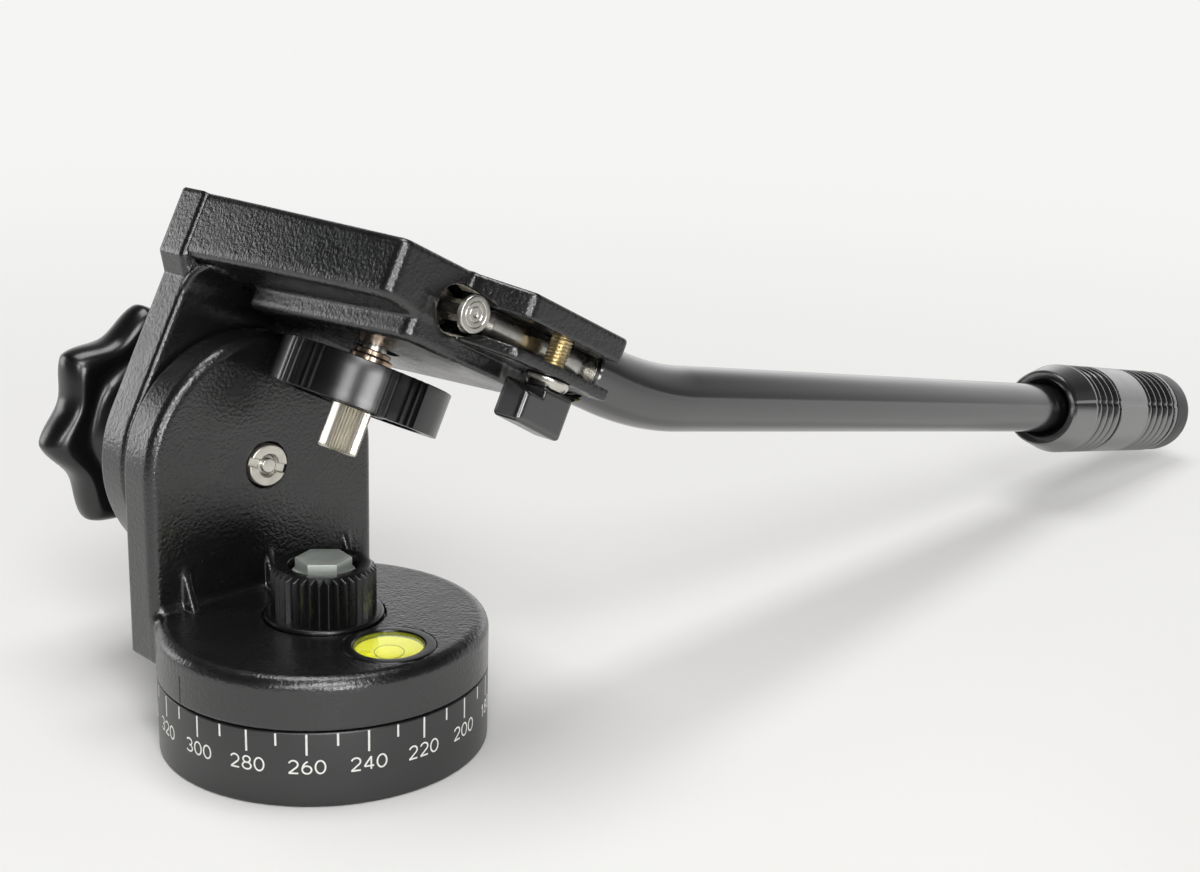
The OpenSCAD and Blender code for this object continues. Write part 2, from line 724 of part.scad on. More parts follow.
// Everything that is cut out of the bracket for the handle's clamp
module clamp_cuts() {
    run = back_x + pin_x + eps;
    translate([-pin_x, -clamp_y, clamp_t]) rotate([0, 90, 0]) cylinder(d = spigot_d + 2 * run_gap, h = run);
    translate([-pin_x, -lug_y - eps, slot_low_t]) cube([run, lug_y - clamp_y + eps, slot_h]);
    translate([-pin_x, -clamp_y + pin_l / 2 + pin_room, clamp_t]) rotate([90, 0, 0])
        cylinder(d = pin_hole_d, h = lug_y);
    translate([pinch_x, -pinch_y, jaw_low_t - eps])
        cylinder(d = pinch_d + 2 * run_gap, h = top_t - pinch_roof - jaw_low_t + eps);
    // room for the wing to turn beside the block
    translate([pinch_x, -pinch_y, 0]) cylinder(r = wing_reach + free_gap, h = jaw_low_t);
}

module tilt_bracket() {
    color("#2a2a2c") tilted() difference() {
        union() {
            along_y(arm_y, arm_t) arm_outline();
            platform();
            root();
            translate([0, 0, jaw_low_t]) linear_extrude(top_t - jaw_low_t) lug_plan();
        }
        clamp_cuts();
        translate([0, arm_y - eps, 0]) rotate([-90, 0, 0])
            cylinder(r = arm_chamber_r, h = arm_chamber_y - arm_y + eps);
        translate([0, arm_y, 0]) rotate([-90, 0, 0]) cylinder(d = tilt_bush_d + 2 * fit_gap, h = arm_t + eps);
        cylinder(d = shank_d + 2 * run_gap, h = top_t + eps);
        cylinder(d = collar_d + 2 * free_gap, h = collar_room_t);
        translate([0, 0, clip_seat_t]) cylinder(d = clip_d + 2 * free_gap, h = clip_sunk + eps);
        translate([-pad_l / 2 - fit_gap, -pad_w / 2 - fit_gap, pad_seat_t])
            cube([pad_l + 2 * fit_gap, pad_w + 2 * fit_gap, pad_t]);
    }
}

module tilt_bush() {
    color("#a9803f") on_tilt_axis(arm_chamber_y)
        ring(tilt_bush_d, shaft_d + 2 * run_gap, arm_outer_y - arm_chamber_y);
}

module platform_pad() {
    color("#303032") tilted() difference() {
        translate([-pad_l / 2, -pad_w / 2, pad_seat_t]) cube([pad_l, pad_w, pad_t]);
        cylinder(d = clip_d + 2 * free_gap, h = screw_tip_t);
    }
}

module screw_collar() {
    color("#b98f4a") tilted() translate([0, 0, collar_t]) difference() {
        union() {
            cylinder(d = collar_d, h = collar_flange_h);
            cylinder(d = collar_neck_d, h = collar_h);
        }
        translate([0, 0, -eps]) cylinder(d = shank_d + 2 * run_gap, h = collar_h + 2 * eps);
    }
}

module screw_clip() {
    color("#6d7072") tilted() translate([0, 0, clip_seat_t + face_gap])
        ring(clip_d, shank_d + 2 * run_gap, clip_t);
}

module camera_screw() {
    color("#c3c6c8") tilted() union() {
        translate([0, 0, knob_low_t]) cylinder(d = shank_d, h = screw_tip_t - knob_low_t);
        translate([0, 0, screw_tip_t - screw_thread_l]) cylinder(d = screw_d, h = screw_thread_l);
    }
}

module camera_knob() {
    color("#17171a") tilted() translate([0, 0, knob_low_t]) difference() {
        ring(knob_d, shank_d + 2 * fit_gap, knob_h);
        for (group = [0 : groove_groups - 1], i = [0 : groove_count - 1])
            rotate([0, 0, groove_turn + group * 360 / groove_groups + (i - (groove_count - 1) / 2) * groove_step])
                translate([knob_d / 2, 0, -eps])
                    cylinder(r = 2 * i == groove_count - 1 ? groove_mid_r : groove_r, h = knob_h + 2 * eps);
    }
}

module camera_post() {
    tip = post_d / 6;
    color("#cfcac0") tilted() translate([0, 0, knob_low_t - post_h]) rotate_extrude() polygon([
        [0, 0], [post_d / 2 - tip, 0], [post_d / 2, tip], [post_d / 2, post_h], [0, post_h]]);
}

module pinch_screw() {
    low_t = wing_top_t - pinch_grip;
    color("#b89a52") tilted() translate([pinch_x, -pinch_y, low_t]) cylinder(d = pinch_d, h = pinch_top_t - low_t);
}

module pinch_washer() {
    color("#cdd0d2") tilted() translate([pinch_x, -pinch_y, pinch_washer_low_t])
        ring(pinch_washer_d, pinch_d + 2 * fit_gap, pinch_washer_t);
}

module clamp_wing() {
    near_x = pinch_x - wing_shift - wing_l / 2;
    color("#1a1a1c") tilted() difference() {
        along_y(-pinch_y - wing_w / 2, wing_w)
            polygon([[near_x, wing_top_t], [near_x, wing_top_t - wing_h + wing_rise],
                     [near_x + wing_l, wing_top_t - wing_h], [near_x + wing_l, wing_top_t]]);
        translate([pinch_x, -pinch_y, wing_top_t - pinch_grip - fit_gap])
            cylinder(d = pinch_d + 2 * fit_gap, h = pinch_grip + eps);
    }
}

module handle_spigot() {
    pin_face = pin_d / 2 + fit_gap - pin_x;
    color("#b9bcbe") on_spigot() rotate([0, 90, 0]) union() {
        translate([0, 0, -pin_x - pin_d / 2]) cylinder(d = tenon_d, h = pin_d + eps);
        translate([0, 0, pin_face]) cylinder(d = spigot_d, h = tube_x - pin_face + eps);
        translate([0, 0, tube_x]) cylinder(d = tube_bore_d - 2 * fit_gap, h = lead_l);
    }
}

module handle_cross_pin() {
    color("#d2d4d4") on_spigot() difference() {
        translate([-pin_x, pin_l / 2, 0]) rotate([90, 0, 0]) cylinder(d = pin_d, h = pin_l);
        translate([-pin_x - pin_d, 0, 0]) rotate([0, 90, 0]) cylinder(d = tenon_d + 2 * fit_gap, h = 2 * pin_d);
    }
}

// The handle's bent bar: a lead, an arc and a long straight run of one diameter, joined by thin bands
module bent_bar(d, over) {
    translate([tube_x - over, 0, 0]) rotate([0, 90, 0]) cylinder(d = d, h = lead_l + over);
    translate([bend_x - band_l / 2, 0, 0]) rotate([0, 90, 0]) cylinder(d = d + 2 * band_skin, h = band_l);
    translate([bend_x, 0, bend_r]) rotate([90, 90, 0])
        rotate_extrude(angle = bend_angle) translate([bend_r, 0]) circle(d = d);
    translate([bend_end[0], 0, bend_end[1]]) rotate([0, 90 - bend_angle, 0]) union() {
        translate([0, 0, -band_l / 2]) cylinder(d = d + 2 * band_skin, h = band_l);
        cylinder(d = d, h = tube_l + grip_l + over);
    }
}

module handle_tube() {
    color("#232427") on_spigot() rotate([-handle_roll, 0, 0]) difference() {
        bent_bar(tube_d, 0);
        bent_bar(tube_bore_d, eps);
    }
}

module handle_grip() {
    bore_r = tube_d / 2 + fit_gap;
    front_r = grip_front_d / 2;
    color("#1b1b1d") on_handle() translate([0, 0, tube_l]) difference() {
        rotate_extrude() polygon([[bore_r, funnel_depth], [front_r - funnel_rim, 0], [front_r, 0],
                                  [grip_d / 2, grip_taper], [grip_d / 2, grip_l], [bore_r, grip_l]]);
        for (band = [0, 1], i = [0 : grip_grooves[band] - 1])
            translate([0, 0, grip_bands[band] + i * grip_pitch[band]])
                rotate_extrude() translate([grip_d / 2, 0]) circle(grip_groove_r);
    }
}

module grip_end_cap() {
    color("#151517") on_handle() translate([0, 0, tube_l + grip_l]) rotate_extrude() union() {
        translate([0, -cap_plug_l]) square([tube_bore_d / 2 - fit_gap, cap_plug_l + eps]);
        square([cap_d / 2, cap_l - cap_round]);
        square([cap_d / 2 - cap_round, cap_l]);
        translate([cap_d / 2 - cap_round, cap_l - cap_round]) circle(cap_round);
    }
}

dial_base();
tripod_bush();
pan_bolt();
pan_thrust_washer();
pan_drag_disc();
pan_body();
pan_bush();
bubble_bezel();
bubble_vial();
bubble_lens();
pan_lock_knob();
pan_lock_insert();
tilt_shaft();
tilt_ring_nut();
tilt_friction_washer();
tilt_drag_disc();
tilt_spring_washer();
tilt_pressure_washer();
star_knob();
star_knob_insert();
tilt_bracket();
tilt_bush();
platform_pad();
screw_collar();
screw_clip();
camera_screw();
camera_knob();
camera_post();
pinch_screw();
pinch_washer();
clamp_wing();
handle_spigot();
handle_cross_pin();
handle_tube();
handle_grip();
grip_end_cap();
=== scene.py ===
"""Looks of a fluid video head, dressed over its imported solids.

Sizes in the classes are millimetres, and meshes are metres in the part's own frame: +Z up the pan axis,
+X towards the pan handle, +Y along the tilt axis. The tilted frame has x along the camera platform, y along
the tilt axis and t upwards from that axis, square to the platform.
"""
import logging
from dataclasses import dataclass
from enum import Enum
from typing import Callable

import bpy
import numpy as np
from mathutils import Matrix, Vector


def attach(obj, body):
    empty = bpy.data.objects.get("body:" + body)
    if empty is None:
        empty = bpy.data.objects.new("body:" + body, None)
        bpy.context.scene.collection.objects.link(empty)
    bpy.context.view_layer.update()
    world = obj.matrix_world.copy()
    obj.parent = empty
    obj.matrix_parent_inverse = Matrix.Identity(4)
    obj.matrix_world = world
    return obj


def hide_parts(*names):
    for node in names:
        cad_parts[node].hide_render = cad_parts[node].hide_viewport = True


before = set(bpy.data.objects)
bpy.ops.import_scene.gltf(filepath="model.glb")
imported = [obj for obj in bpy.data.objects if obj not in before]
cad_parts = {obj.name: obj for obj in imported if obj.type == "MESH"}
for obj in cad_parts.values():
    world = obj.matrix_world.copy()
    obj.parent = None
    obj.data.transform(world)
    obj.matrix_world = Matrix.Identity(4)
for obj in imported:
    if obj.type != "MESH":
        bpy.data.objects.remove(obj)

log = logging.getLogger("video_head")
Array = np.ndarray
Distance = Callable[[Array], Array]
Pair = tuple[float, float]
Triple = tuple[float, float, float]
Piece = bpy.types.Object
Material = bpy.types.Material
Node = bpy.types.Node
Socket = bpy.types.NodeSocket
Tree = bpy.types.NodeTree

MM = 0.001
# Height of the tilt axis, and the platform's tilt at rest
AXIS_Z = 59.3
TILT = np.radians(26.2)
# Edges sharper than this angle are not shaded smooth
SHARP = np.radians(38)
# Radius of the smallest ring of a turned piece, which a fan closes
POLE = 0.01
# Gap all round between a pin or plug and its bore
PLAY = 0.04
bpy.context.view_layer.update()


class Body(str, Enum):
    """Bodies of the part that pieces ride on."""

    BASE = "base"
    PAN = "pan"
    PAN_LOCK = "pan_lock"
    TILT = "tilt"
    TILT_LOCK = "tilt_lock"
    CARRIER = "screw_carrier"
    SCREW = "screw"
    CLAMP = "clamp"
    HANDLE = "handle"


# Frames


def from_tilted(points: Array) -> Array:
    """Turns points of the tilted frame into the part's frame: X = x cos + t sin, Z = axis - x sin + t cos.

    Args:
        points: (..., 3) array of x, y, t in millimetres.

    Returns:
        The same points as X, Y, Z in millimetres.
    """
    x, y, t = points[..., 0], points[..., 1], points[..., 2]
    c, s = np.cos(TILT), np.sin(TILT)
    return np.stack([x * c + t * s, y, AXIS_Z - x * s + t * c], -1)


def from_tilt_axis(points: Array) -> Array:
    """Lays a piece turned about its own z onto the tilt axis: x stays, z runs along Y, y turns down."""
    return np.stack([points[..., 0], points[..., 2], AXIS_Z - points[..., 1]], -1)


def polar(r: Array, a: Array, z: Array) -> Array:
    """Gives points about the z axis, x = r cos a and y = r sin a, from arrays stretched to one shape."""
    r, a, z = np.broadcast_arrays(r, a, z)
    return np.stack([r * np.cos(a), r * np.sin(a), z], -1)


# Meshes


def grid_faces(rows: int, cols: int, wrap_rows: bool) -> Array:
    """Gives the quads of a grid whose columns go round and join.

    Args:
        rows: Number of rows along the profile.
        cols: Number of columns round the axis.
        wrap_rows: Whether the last row joins the first.

    Returns:
        (n, 4) array of corner numbers.
    """
    r = np.arange(rows if wrap_rows else rows - 1)[:, None]
    c = np.arange(cols)[None]
    r2 = (r + 1) % rows
    c2 = (c + 1) % cols
    return np.stack([r * cols + c, r * cols + c2, r2 * cols + c2, r2 * cols + c], -1).reshape(-1, 4)


def put_mesh(name: str, points: Array, quads: Array, tris: Array | None = None, closed: bool = True) -> Piece:
    """Puts arrays into a new mesh object at the origin.

    Args:
        name: Name of the piece.
        points: (n, 3) points in millimetres, in the part's frame.
        quads: (m, 4) corner numbers.
        tris: Optional (k, 3) corner numbers.
        closed: Whether the shell is closed, so that its volume tells which way its faces point.

    Returns:
        The new object, linked to the scene and shaded smooth.
    """
    tris = np.zeros((0, 3), int) if tris is None else tris
    if closed:
        split = np.concatenate([quads[:, [0, 1, 2]], quads[:, [0, 2, 3]], tris])
        a, b, c = points[split[:, 0]], points[split[:, 1]], points[split[:, 2]]
        if np.einsum("ij,ij->i", a, np.cross(b, c)).sum() < 0:
            quads, tris = quads[:, ::-1], tris[:, ::-1]
    corners = np.concatenate([quads.ravel(), tris.ravel()]).astype(np.int32)
    starts = np.concatenate([np.arange(len(quads)) * 4, len(quads) * 4 + np.arange(len(tris)) * 3])
    mesh = bpy.data.meshes.new(name)
    mesh.vertices.add(len(points))
    mesh.vertices.foreach_set("co", (points * MM).astype(np.float32).ravel())
    mesh.loops.add(len(corners))
    mesh.loops.foreach_set("vertex_index", corners)
    mesh.polygons.add(len(starts))
    mesh.polygons.foreach_set("loop_start", starts.astype(np.int32))
    mesh.polygons.foreach_set("use_smooth", np.ones(len(starts), bool))
    mesh.update(calc_edges=True)
    mesh.validate()
    mesh.set_sharp_from_angle(angle=SHARP)
    obj = bpy.data.objects.new(name, mesh)
    bpy.context.scene.collection.objects.link(obj)
    return obj


def rounded(corners: list[Triple], closed: bool = False, steps: int = 6) -> Array:
    """Rounds the corners of an outline with arcs.

    Each corner is replaced by points of the circle that touches both of its sides: the circle's centre lies
    on the corner's bisector at radius / sin(half angle). No arc takes more than half of a side.

    Args:
        corners: (u, v, radius) of each corner, radius 0 for a sharp one.
        closed: Whether the last corner joins the first.
        steps: Number of points along an arc, less one.

    Returns:
        (n, 2) array of outline points.
    """
    p = np.array([c[:2] for c in corners], float)
    out: list[Array] = []
    count = len(p)
    for i, (_, _, radius) in enumerate(corners):
        if radius <= 0 or (not closed and i in (0, count - 1)):
            out.append(p[i][None])
            continue
        a = p[i - 1] - p[i]
        b = p[(i + 1) % count] - p[i]
        la, lb = np.linalg.norm(a), np.linalg.norm(b)
        a, b = a / la, b / lb
        half = np.arccos(np.clip(a @ b, -1, 1)) / 2
        radius = min(radius, 0.499 * min(la, lb) * np.tan(half))
        centre = p[i] + (a + b) / np.linalg.norm(a + b) * radius / np.sin(half)
        start = p[i] + a * radius / np.tan(half) - centre
        end = p[i] + b * radius / np.tan(half) - centre
        a0 = np.arctan2(start[1], start[0])
        turn = (np.arctan2(end[1], end[0]) - a0 + np.pi) % (2 * np.pi) - np.pi
        angles = a0 + turn * np.linspace(0, 1, steps + 1)
        out.append(centre + radius * np.stack([np.cos(angles), np.sin(angles)], -1))
    return np.concatenate(out)


def evenly(count: int) -> Array:
    """Gives that many even angles round a full turn."""
    return np.linspace(0, 2 * np.pi, count, endpoint=False)


def turn_profile(profile: Array, angles: Array | int) -> Array:
    """Turns a profile about z.

    Args:
        profile: (n, 2) radii and heights.
        angles: Angles of the columns, or their number.

    Returns:
        (n, columns, 3) points.
    """
    a = evenly(angles) if isinstance(angles, int) else angles
    return polar(profile[:, :1], a, profile[:, 1:])


def scaled_round(points: Array, factor: Array) -> Array:
    """Moves points of a turned grid towards or away from the z axis by a factor each."""
    return points * np.stack([factor, factor, np.ones_like(factor)], -1)


def shell(name: str, points: Array, loop: bool = False) -> Piece:
    """Closes a grid of rows round an axis into a piece.

    Args:
        name: Name of the piece.
        points: (rows, columns, 3) points in the part's frame, in millimetres.
        loop: Whether the last row joins the first; otherwise each end is closed by a fan.

    Returns:
        The new object.
    """
    rows, cols = points.shape[:2]
    flat = points.reshape(-1, 3)
    quads = grid_faces(rows, cols, loop)
    if loop:
        return put_mesh(name, flat, quads)
    ends = np.stack([points[0].mean(0), points[-1].mean(0)])
    c = np.arange(cols)
    c2 = (c + 1) % cols
    first = np.stack([np.full(cols, len(flat)), c2, c], -1)
    last = np.stack([np.full(cols, len(flat) + 1), (rows - 1) * cols + c, (rows - 1) * cols + c2], -1)
    return put_mesh(name, np.concatenate([flat, ends]), quads, np.concatenate([first, last]))


def strips(name: str, sections: list[Array]) -> Piece:
    """Makes one piece of many thin bars, each given by the four corners of its section at every station.

    Args:
        name: Name of the piece.
        sections: One (n, 4, 3) array for each bar.

    Returns:
        The new object, with both ends of every bar closed.
    """
    points, quads, offset = [], [], 0
    for bar in sections:
        n = len(bar)
        ends = np.array([[0, 1, 2, 3], [4 * n - 1, 4 * n - 2, 4 * n - 3, 4 * n - 4]])
        quads.append(offset + np.concatenate([grid_faces(n, 4, False)[:, ::-1], ends]))
        points.append(bar.reshape(-1, 3))
        offset += 4 * n
    return put_mesh(name, np.concatenate(points), np.concatenate(quads))


# Castings as distance fields


def join_round(a: Array, b: Array, radius: float) -> Array:
    """Joins two distance fields with a fillet of the given radius where their surfaces meet."""
    reach = np.hypot(np.maximum(radius - a, 0), np.maximum(radius - b, 0))
    return np.maximum(radius, np.minimum(a, b)) - reach


def meet_round(a: Array, b: Array, radius: float) -> Array:
    """Keeps what is in both distance fields and rounds the edge between them with the given radius."""
    reach = np.hypot(np.maximum(radius + a, 0), np.maximum(radius + b, 0))
    return np.minimum(-radius, np.maximum(a, b)) + reach


def cut_round(a: Array, b: Array, radius: float) -> Array:
    """Takes field b out of field a and rounds the rim with the given radius."""
    return meet_round(a, -b, radius)


def convex_distance(u: Array, v: Array, corners: list[Pair], radius: float) -> Array:
    """Field of a convex outline with round corners: the rounded meet of its sides' distances.

    Args:
        u: First coordinate of the points.
        v: Second coordinate of the points.
        corners: Corners, anticlockwise.
        radius: Radius of the corners.

    Returns:
        Array of distances in the outline's units.
    """
    field = np.full(np.shape(u + v), -1e6)
    for (au, av), (bu, bv) in zip(corners, corners[1:] + corners[:1]):
        side = ((u - au) * (bv - av) - (v - av) * (bu - au)) / np.hypot(bu - au, bv - av)
        field = meet_round(field, side, radius)
    return field


def outline_distance(u: Array, v: Array, outline: list[Pair]) -> Array:
    """Signed distance to a closed outline: the nearest side's distance, negative inside by crossing count.

    Args:
        u: First coordinate of the points.
        v: Second coordinate of the points.
        outline: Corners of the outline in order.

    Returns:
        Array of distances in the outline's units.
    """
    best = np.full(np.shape(u + v), np.inf)
    inside = np.zeros(np.shape(u + v), bool)
    for (au, av), (bu, bv) in zip(outline, outline[1:] + outline[:1]):
        eu, ev = bu - au, bv - av
        k = np.clip(((u - au) * eu + (v - av) * ev) / (eu * eu + ev * ev), 0, 1)
        best = np.minimum(best, np.hypot(u - au - k * eu, v - av - k * ev))
        if ev:
            inside ^= ((av > v) != (bv > v)) & (u < au + (v - av) * eu / ev)
    return np.where(inside, -best, best)


def net(distance: Distance, span: tuple[Triple, Triple], step: float) -> tuple[Array, Array]:
    """Draws the zero surface of a distance field as a net of quads.

    Each grid cell that the surface passes through gets one point, the mean of where it crosses the cell's
    edges, which then slides along the field's slope onto the surface. Each crossed edge gets a quad of its
    four cells.

    Args:
        distance: Field of (..., 3) points in millimetres.
        span: Lowest and highest corner of the grid.
        step: Grid spacing in millimetres.

    Returns:
        (n, 3) points and (m, 4) quads.
    """
    probe, slides, reach = 0.02, 4, 0.4
    low, high = span
    sides = [np.arange(a, b + step, step) for a, b in zip(low, high)]
    value = distance(np.stack(np.meshgrid(*sides, indexing="ij"), -1))
    cells = np.array(value.shape) - 1
    total = np.zeros((*cells, 3))
    count = np.zeros(cells)
    crossings = []
    for axis in range(3):
        a = value[tuple(slice(0, -1) if k == axis else slice(None) for k in range(3))]
        b = value[tuple(slice(1, None) if k == axis else slice(None) for k in range(3))]
        edges = np.argwhere((a < 0) != (b < 0))
        at = tuple(edges.T)
        place = edges.astype(float)
        place[:, axis] += a[at] / (a[at] - b[at])
        u, v = np.eye(3, dtype=int)[[(axis + 1) % 3, (axis + 2) % 3]]
        around = [edges, edges - u, edges - u - v, edges - v]
        for cell in around:
            np.add.at(total, tuple(cell.T), place)
            np.add.at(count, tuple(cell.T), 1)
        crossings.append((around, a[at] < 0))
    number = np.full(cells, -1)
    used = count > 0
    number[used] = np.arange(used.sum())
    points = np.array(low) + step * total[used] / count[used][:, None]
    quads = []
    for around, filled in crossings:
        q = np.stack([number[tuple(cell.T)] for cell in around], -1)
        quads.append(np.where(filled[:, None], q, q[:, ::-1]))
    for _ in range(slides):
        ahead = [distance(points + s) - distance(points - s) for s in np.eye(3) * probe]
        slope = np.stack(ahead, -1) / (2 * probe)
        move = distance(points)[:, None] * slope / np.maximum((slope ** 2).sum(-1, keepdims=True), 0.2)
        points = points - np.clip(move, -reach * step, reach * step)
    return points, np.concatenate(quads)


# Finishes


def linear(hex_color: str) -> tuple[float, float, float, float]:
    """Turns an sRGB hex colour into linear colour.

    Args:
        hex_color: Colour as #rrggbb.

    Returns:
        Linear red, green, blue and full alpha.
    """
    c = np.array([int(hex_color[i:i + 2], 16) for i in (1, 3, 5)]) / 255
    c = np.where(c <= 0.04045, c / 12.92, ((c + 0.055) / 1.055) ** 2.4)
    return (float(c[0]), float(c[1]), float(c[2]), 1.0)


def add(tree: Tree, kind: str, inputs: dict | None = None, **settings) -> Node:
    """Adds a node with its settings, and links or fills its inputs.

    Args:
        tree: Node tree to add to.
        kind: Blender's name of the node type.
        inputs: Input name or number to a socket to link from, or a value to set.
        settings: Attributes of the node.

    Returns:
        The new node.
    """
    node = tree.nodes.new(kind)
    for key, value in settings.items():
        setattr(node, key, value)
    for key, value in (inputs or {}).items():
        if isinstance(value, Socket):
            tree.links.new(value, node.inputs[key])
        else:
            node.inputs[key].default_value = value
    return node


@dataclass(frozen=True)
class Finish:
    """A plain surface: colour with slight variation, gloss with slight variation, and a fine relief.

    Sizes of patterns are in millimetres, and relief is the height of its bumps.
    """

    name: str
    color: str
    shade: str
    roughness: float
    rough_spread: float = 0.05
    metallic: float = 0.0
    ior: float = 1.5
    grain: float = 1.0
    relief: float = 0.01
    blotch: float = 12.0
    # Strength of a painted glow in the finish's own colour; 0 for none
    glow: float = 0.0

    def relief_height(self, tree: Tree, place: Socket) -> Socket:
        """Gives the relief's height from 0 to 1: one soft noise at the grain's size."""
        return add(tree, "ShaderNodeTexNoise", {
            "Vector": place, "Scale": 1 / (self.grain * MM), "Detail": 2.0}).outputs["Fac"]

    def surface(self) -> tuple[Material, Tree, Node]:
        """Builds the nodes that all finishes share, on the piece's own coordinates.

        Returns:
            The material, its tree and its shader.
        """
        material = bpy.data.materials.new(self.name)
        material.use_nodes = True
        tree = material.node_tree
        tree.nodes.clear()
        place = add(tree, "ShaderNodeTexCoord").outputs["Object"]
        patch = add(tree, "ShaderNodeTexNoise", {
            "Vector": place, "Scale": 1 / (self.blotch * MM), "Detail": 4.0}).outputs["Fac"]
        tint = add(tree, "ShaderNodeMix", {
            0: patch, 6: linear(self.color), 7: linear(self.shade)}, data_type="RGBA").outputs[2]
        gloss = add(tree, "ShaderNodeMapRange", {
            "Value": patch, "From Min": 0.3, "From Max": 0.7,
            "To Min": self.roughness - self.rough_spread, "To Max": self.roughness + self.rough_spread})
        bump = add(tree, "ShaderNodeBump", {
            "Height": self.relief_height(tree, place), "Strength": 1.0, "Distance": self.relief * MM})
        shader = add(tree, "ShaderNodeBsdfPrincipled", {
            "Base Color": tint, "Roughness": gloss.outputs["Result"], "Normal": bump.outputs["Normal"],
            "Metallic": self.metallic, "IOR": self.ior, "Emission Color": linear(self.color),
            "Emission Strength": self.glow})
        add(tree, "ShaderNodeOutputMaterial", {"Surface": shader.outputs["BSDF"]})
        return material, tree, shader

    def material(self) -> Material:
        """Builds the material of a piece."""
        return self.surface()[0]


@dataclass(frozen=True)
class RibbedRubber(Finish):
    """Glossy crests with painted shade in the valleys; how deep a point lies comes from the mesh's own
    attribute.
    """

    depth_name: str = "groove"
    crest_to_valley: Pair = (0.2, 0.6)
    # Specular level at crests and in valleys; the low level in the valleys is painted shade
    gloss: Pair = (0.5, 0.03)

    def material(self) -> Material:
        """Builds the material and paints shade into the valleys by lowering the specular level towards them.

        Returns:
            The material, ready for a piece.
        """
        material, tree, shader = self.surface()
        groove = add(tree, "ShaderNodeAttribute", attribute_name=self.depth_name)
        (crest, valley), (bright, dull) = self.crest_to_valley, self.gloss
        level = add(tree, "ShaderNodeMapRange", {
            "Value": groove.outputs["Fac"], "From Min": crest, "From Max": valley, "To Min": bright,
            "To Max": dull})
        # Painted shade: the deeper a point lies between the ribs, the less it reflects
        tree.links.new(level.outputs["Result"], shader.inputs["Specular IOR Level"])
        return material


@dataclass(frozen=True)
class CastingPaint(Finish):
    """Stoved paint over a sand casting: a pebbled skin under a smooth gloss, with finer orange peel on it."""

    pebble: float = 2.6
    pebble_share: float = 0.3

    def relief_height(self, tree: Tree, place: Socket) -> Socket:
        """Mixes the casting's pebbles with the paint's finer orange peel.

        Args:
            tree: Node tree to add to.
            place: The piece's own coordinates.

        Returns:
            The height from 0 to 1.
        """
        fine = add(tree, "ShaderNodeTexNoise", {
            "Vector": place, "Scale": 1 / (self.grain * MM), "Detail": 2.5, "Roughness": 0.5}).outputs["Fac"]
        coarse = add(tree, "ShaderNodeTexNoise", {
            "Vector": place, "Scale": 1 / (self.pebble * MM), "Detail": 2.0, "Roughness": 0.5}).outputs["Fac"]
        return add(tree, "ShaderNodeMix", {0: self.pebble_share, 2: fine, 3: coarse}).outputs[0]


@dataclass(frozen=True)
class MachinedMetal(Finish):
    """Bare or plated metal with fine tool rings; the rings' spacing is the grain."""

    squeeze: float = 14.0

    def relief_height(self, tree: Tree, place: Socket) -> Socket:
        """Gives the rings' height from 0 to 1: a noise squeezed along z."""
        flat = add(tree, "ShaderNodeMapping", {"Vector": place, "Scale": (1.0, 1.0, self.squeeze)})
        return add(tree, "ShaderNodeTexNoise", {
            "Vector": flat.outputs["Vector"], "Scale": 1 / (self.grain * MM * self.squeeze),
            "Detail": 3.0}).outputs["Fac"]


@dataclass(frozen=True)
class ClearCover(Finish):
    """Clear acrylic over the level: light passes and the edge catches it."""

    def material(self) -> Material:
        """Makes the shader clear, and lets lamp light through so that the level below isn't in its shadow.

        Returns:
            The material, ready for a piece.
        """
        material, tree, shader = self.surface()
        out = shader.outputs["BSDF"].links[0].to_socket
        shader.inputs["Transmission Weight"].default_value = 1.0
        shadow = add(tree, "ShaderNodeLightPath").outputs["Is Shadow Ray"]
        open_way = add(tree, "ShaderNodeBsdfTransparent")
        mix = add(tree, "ShaderNodeMixShader", {0: shadow, 1: shader.outputs[0], 2: open_way.outputs[0]})
        tree.links.new(mix.outputs[0], out)
        return material


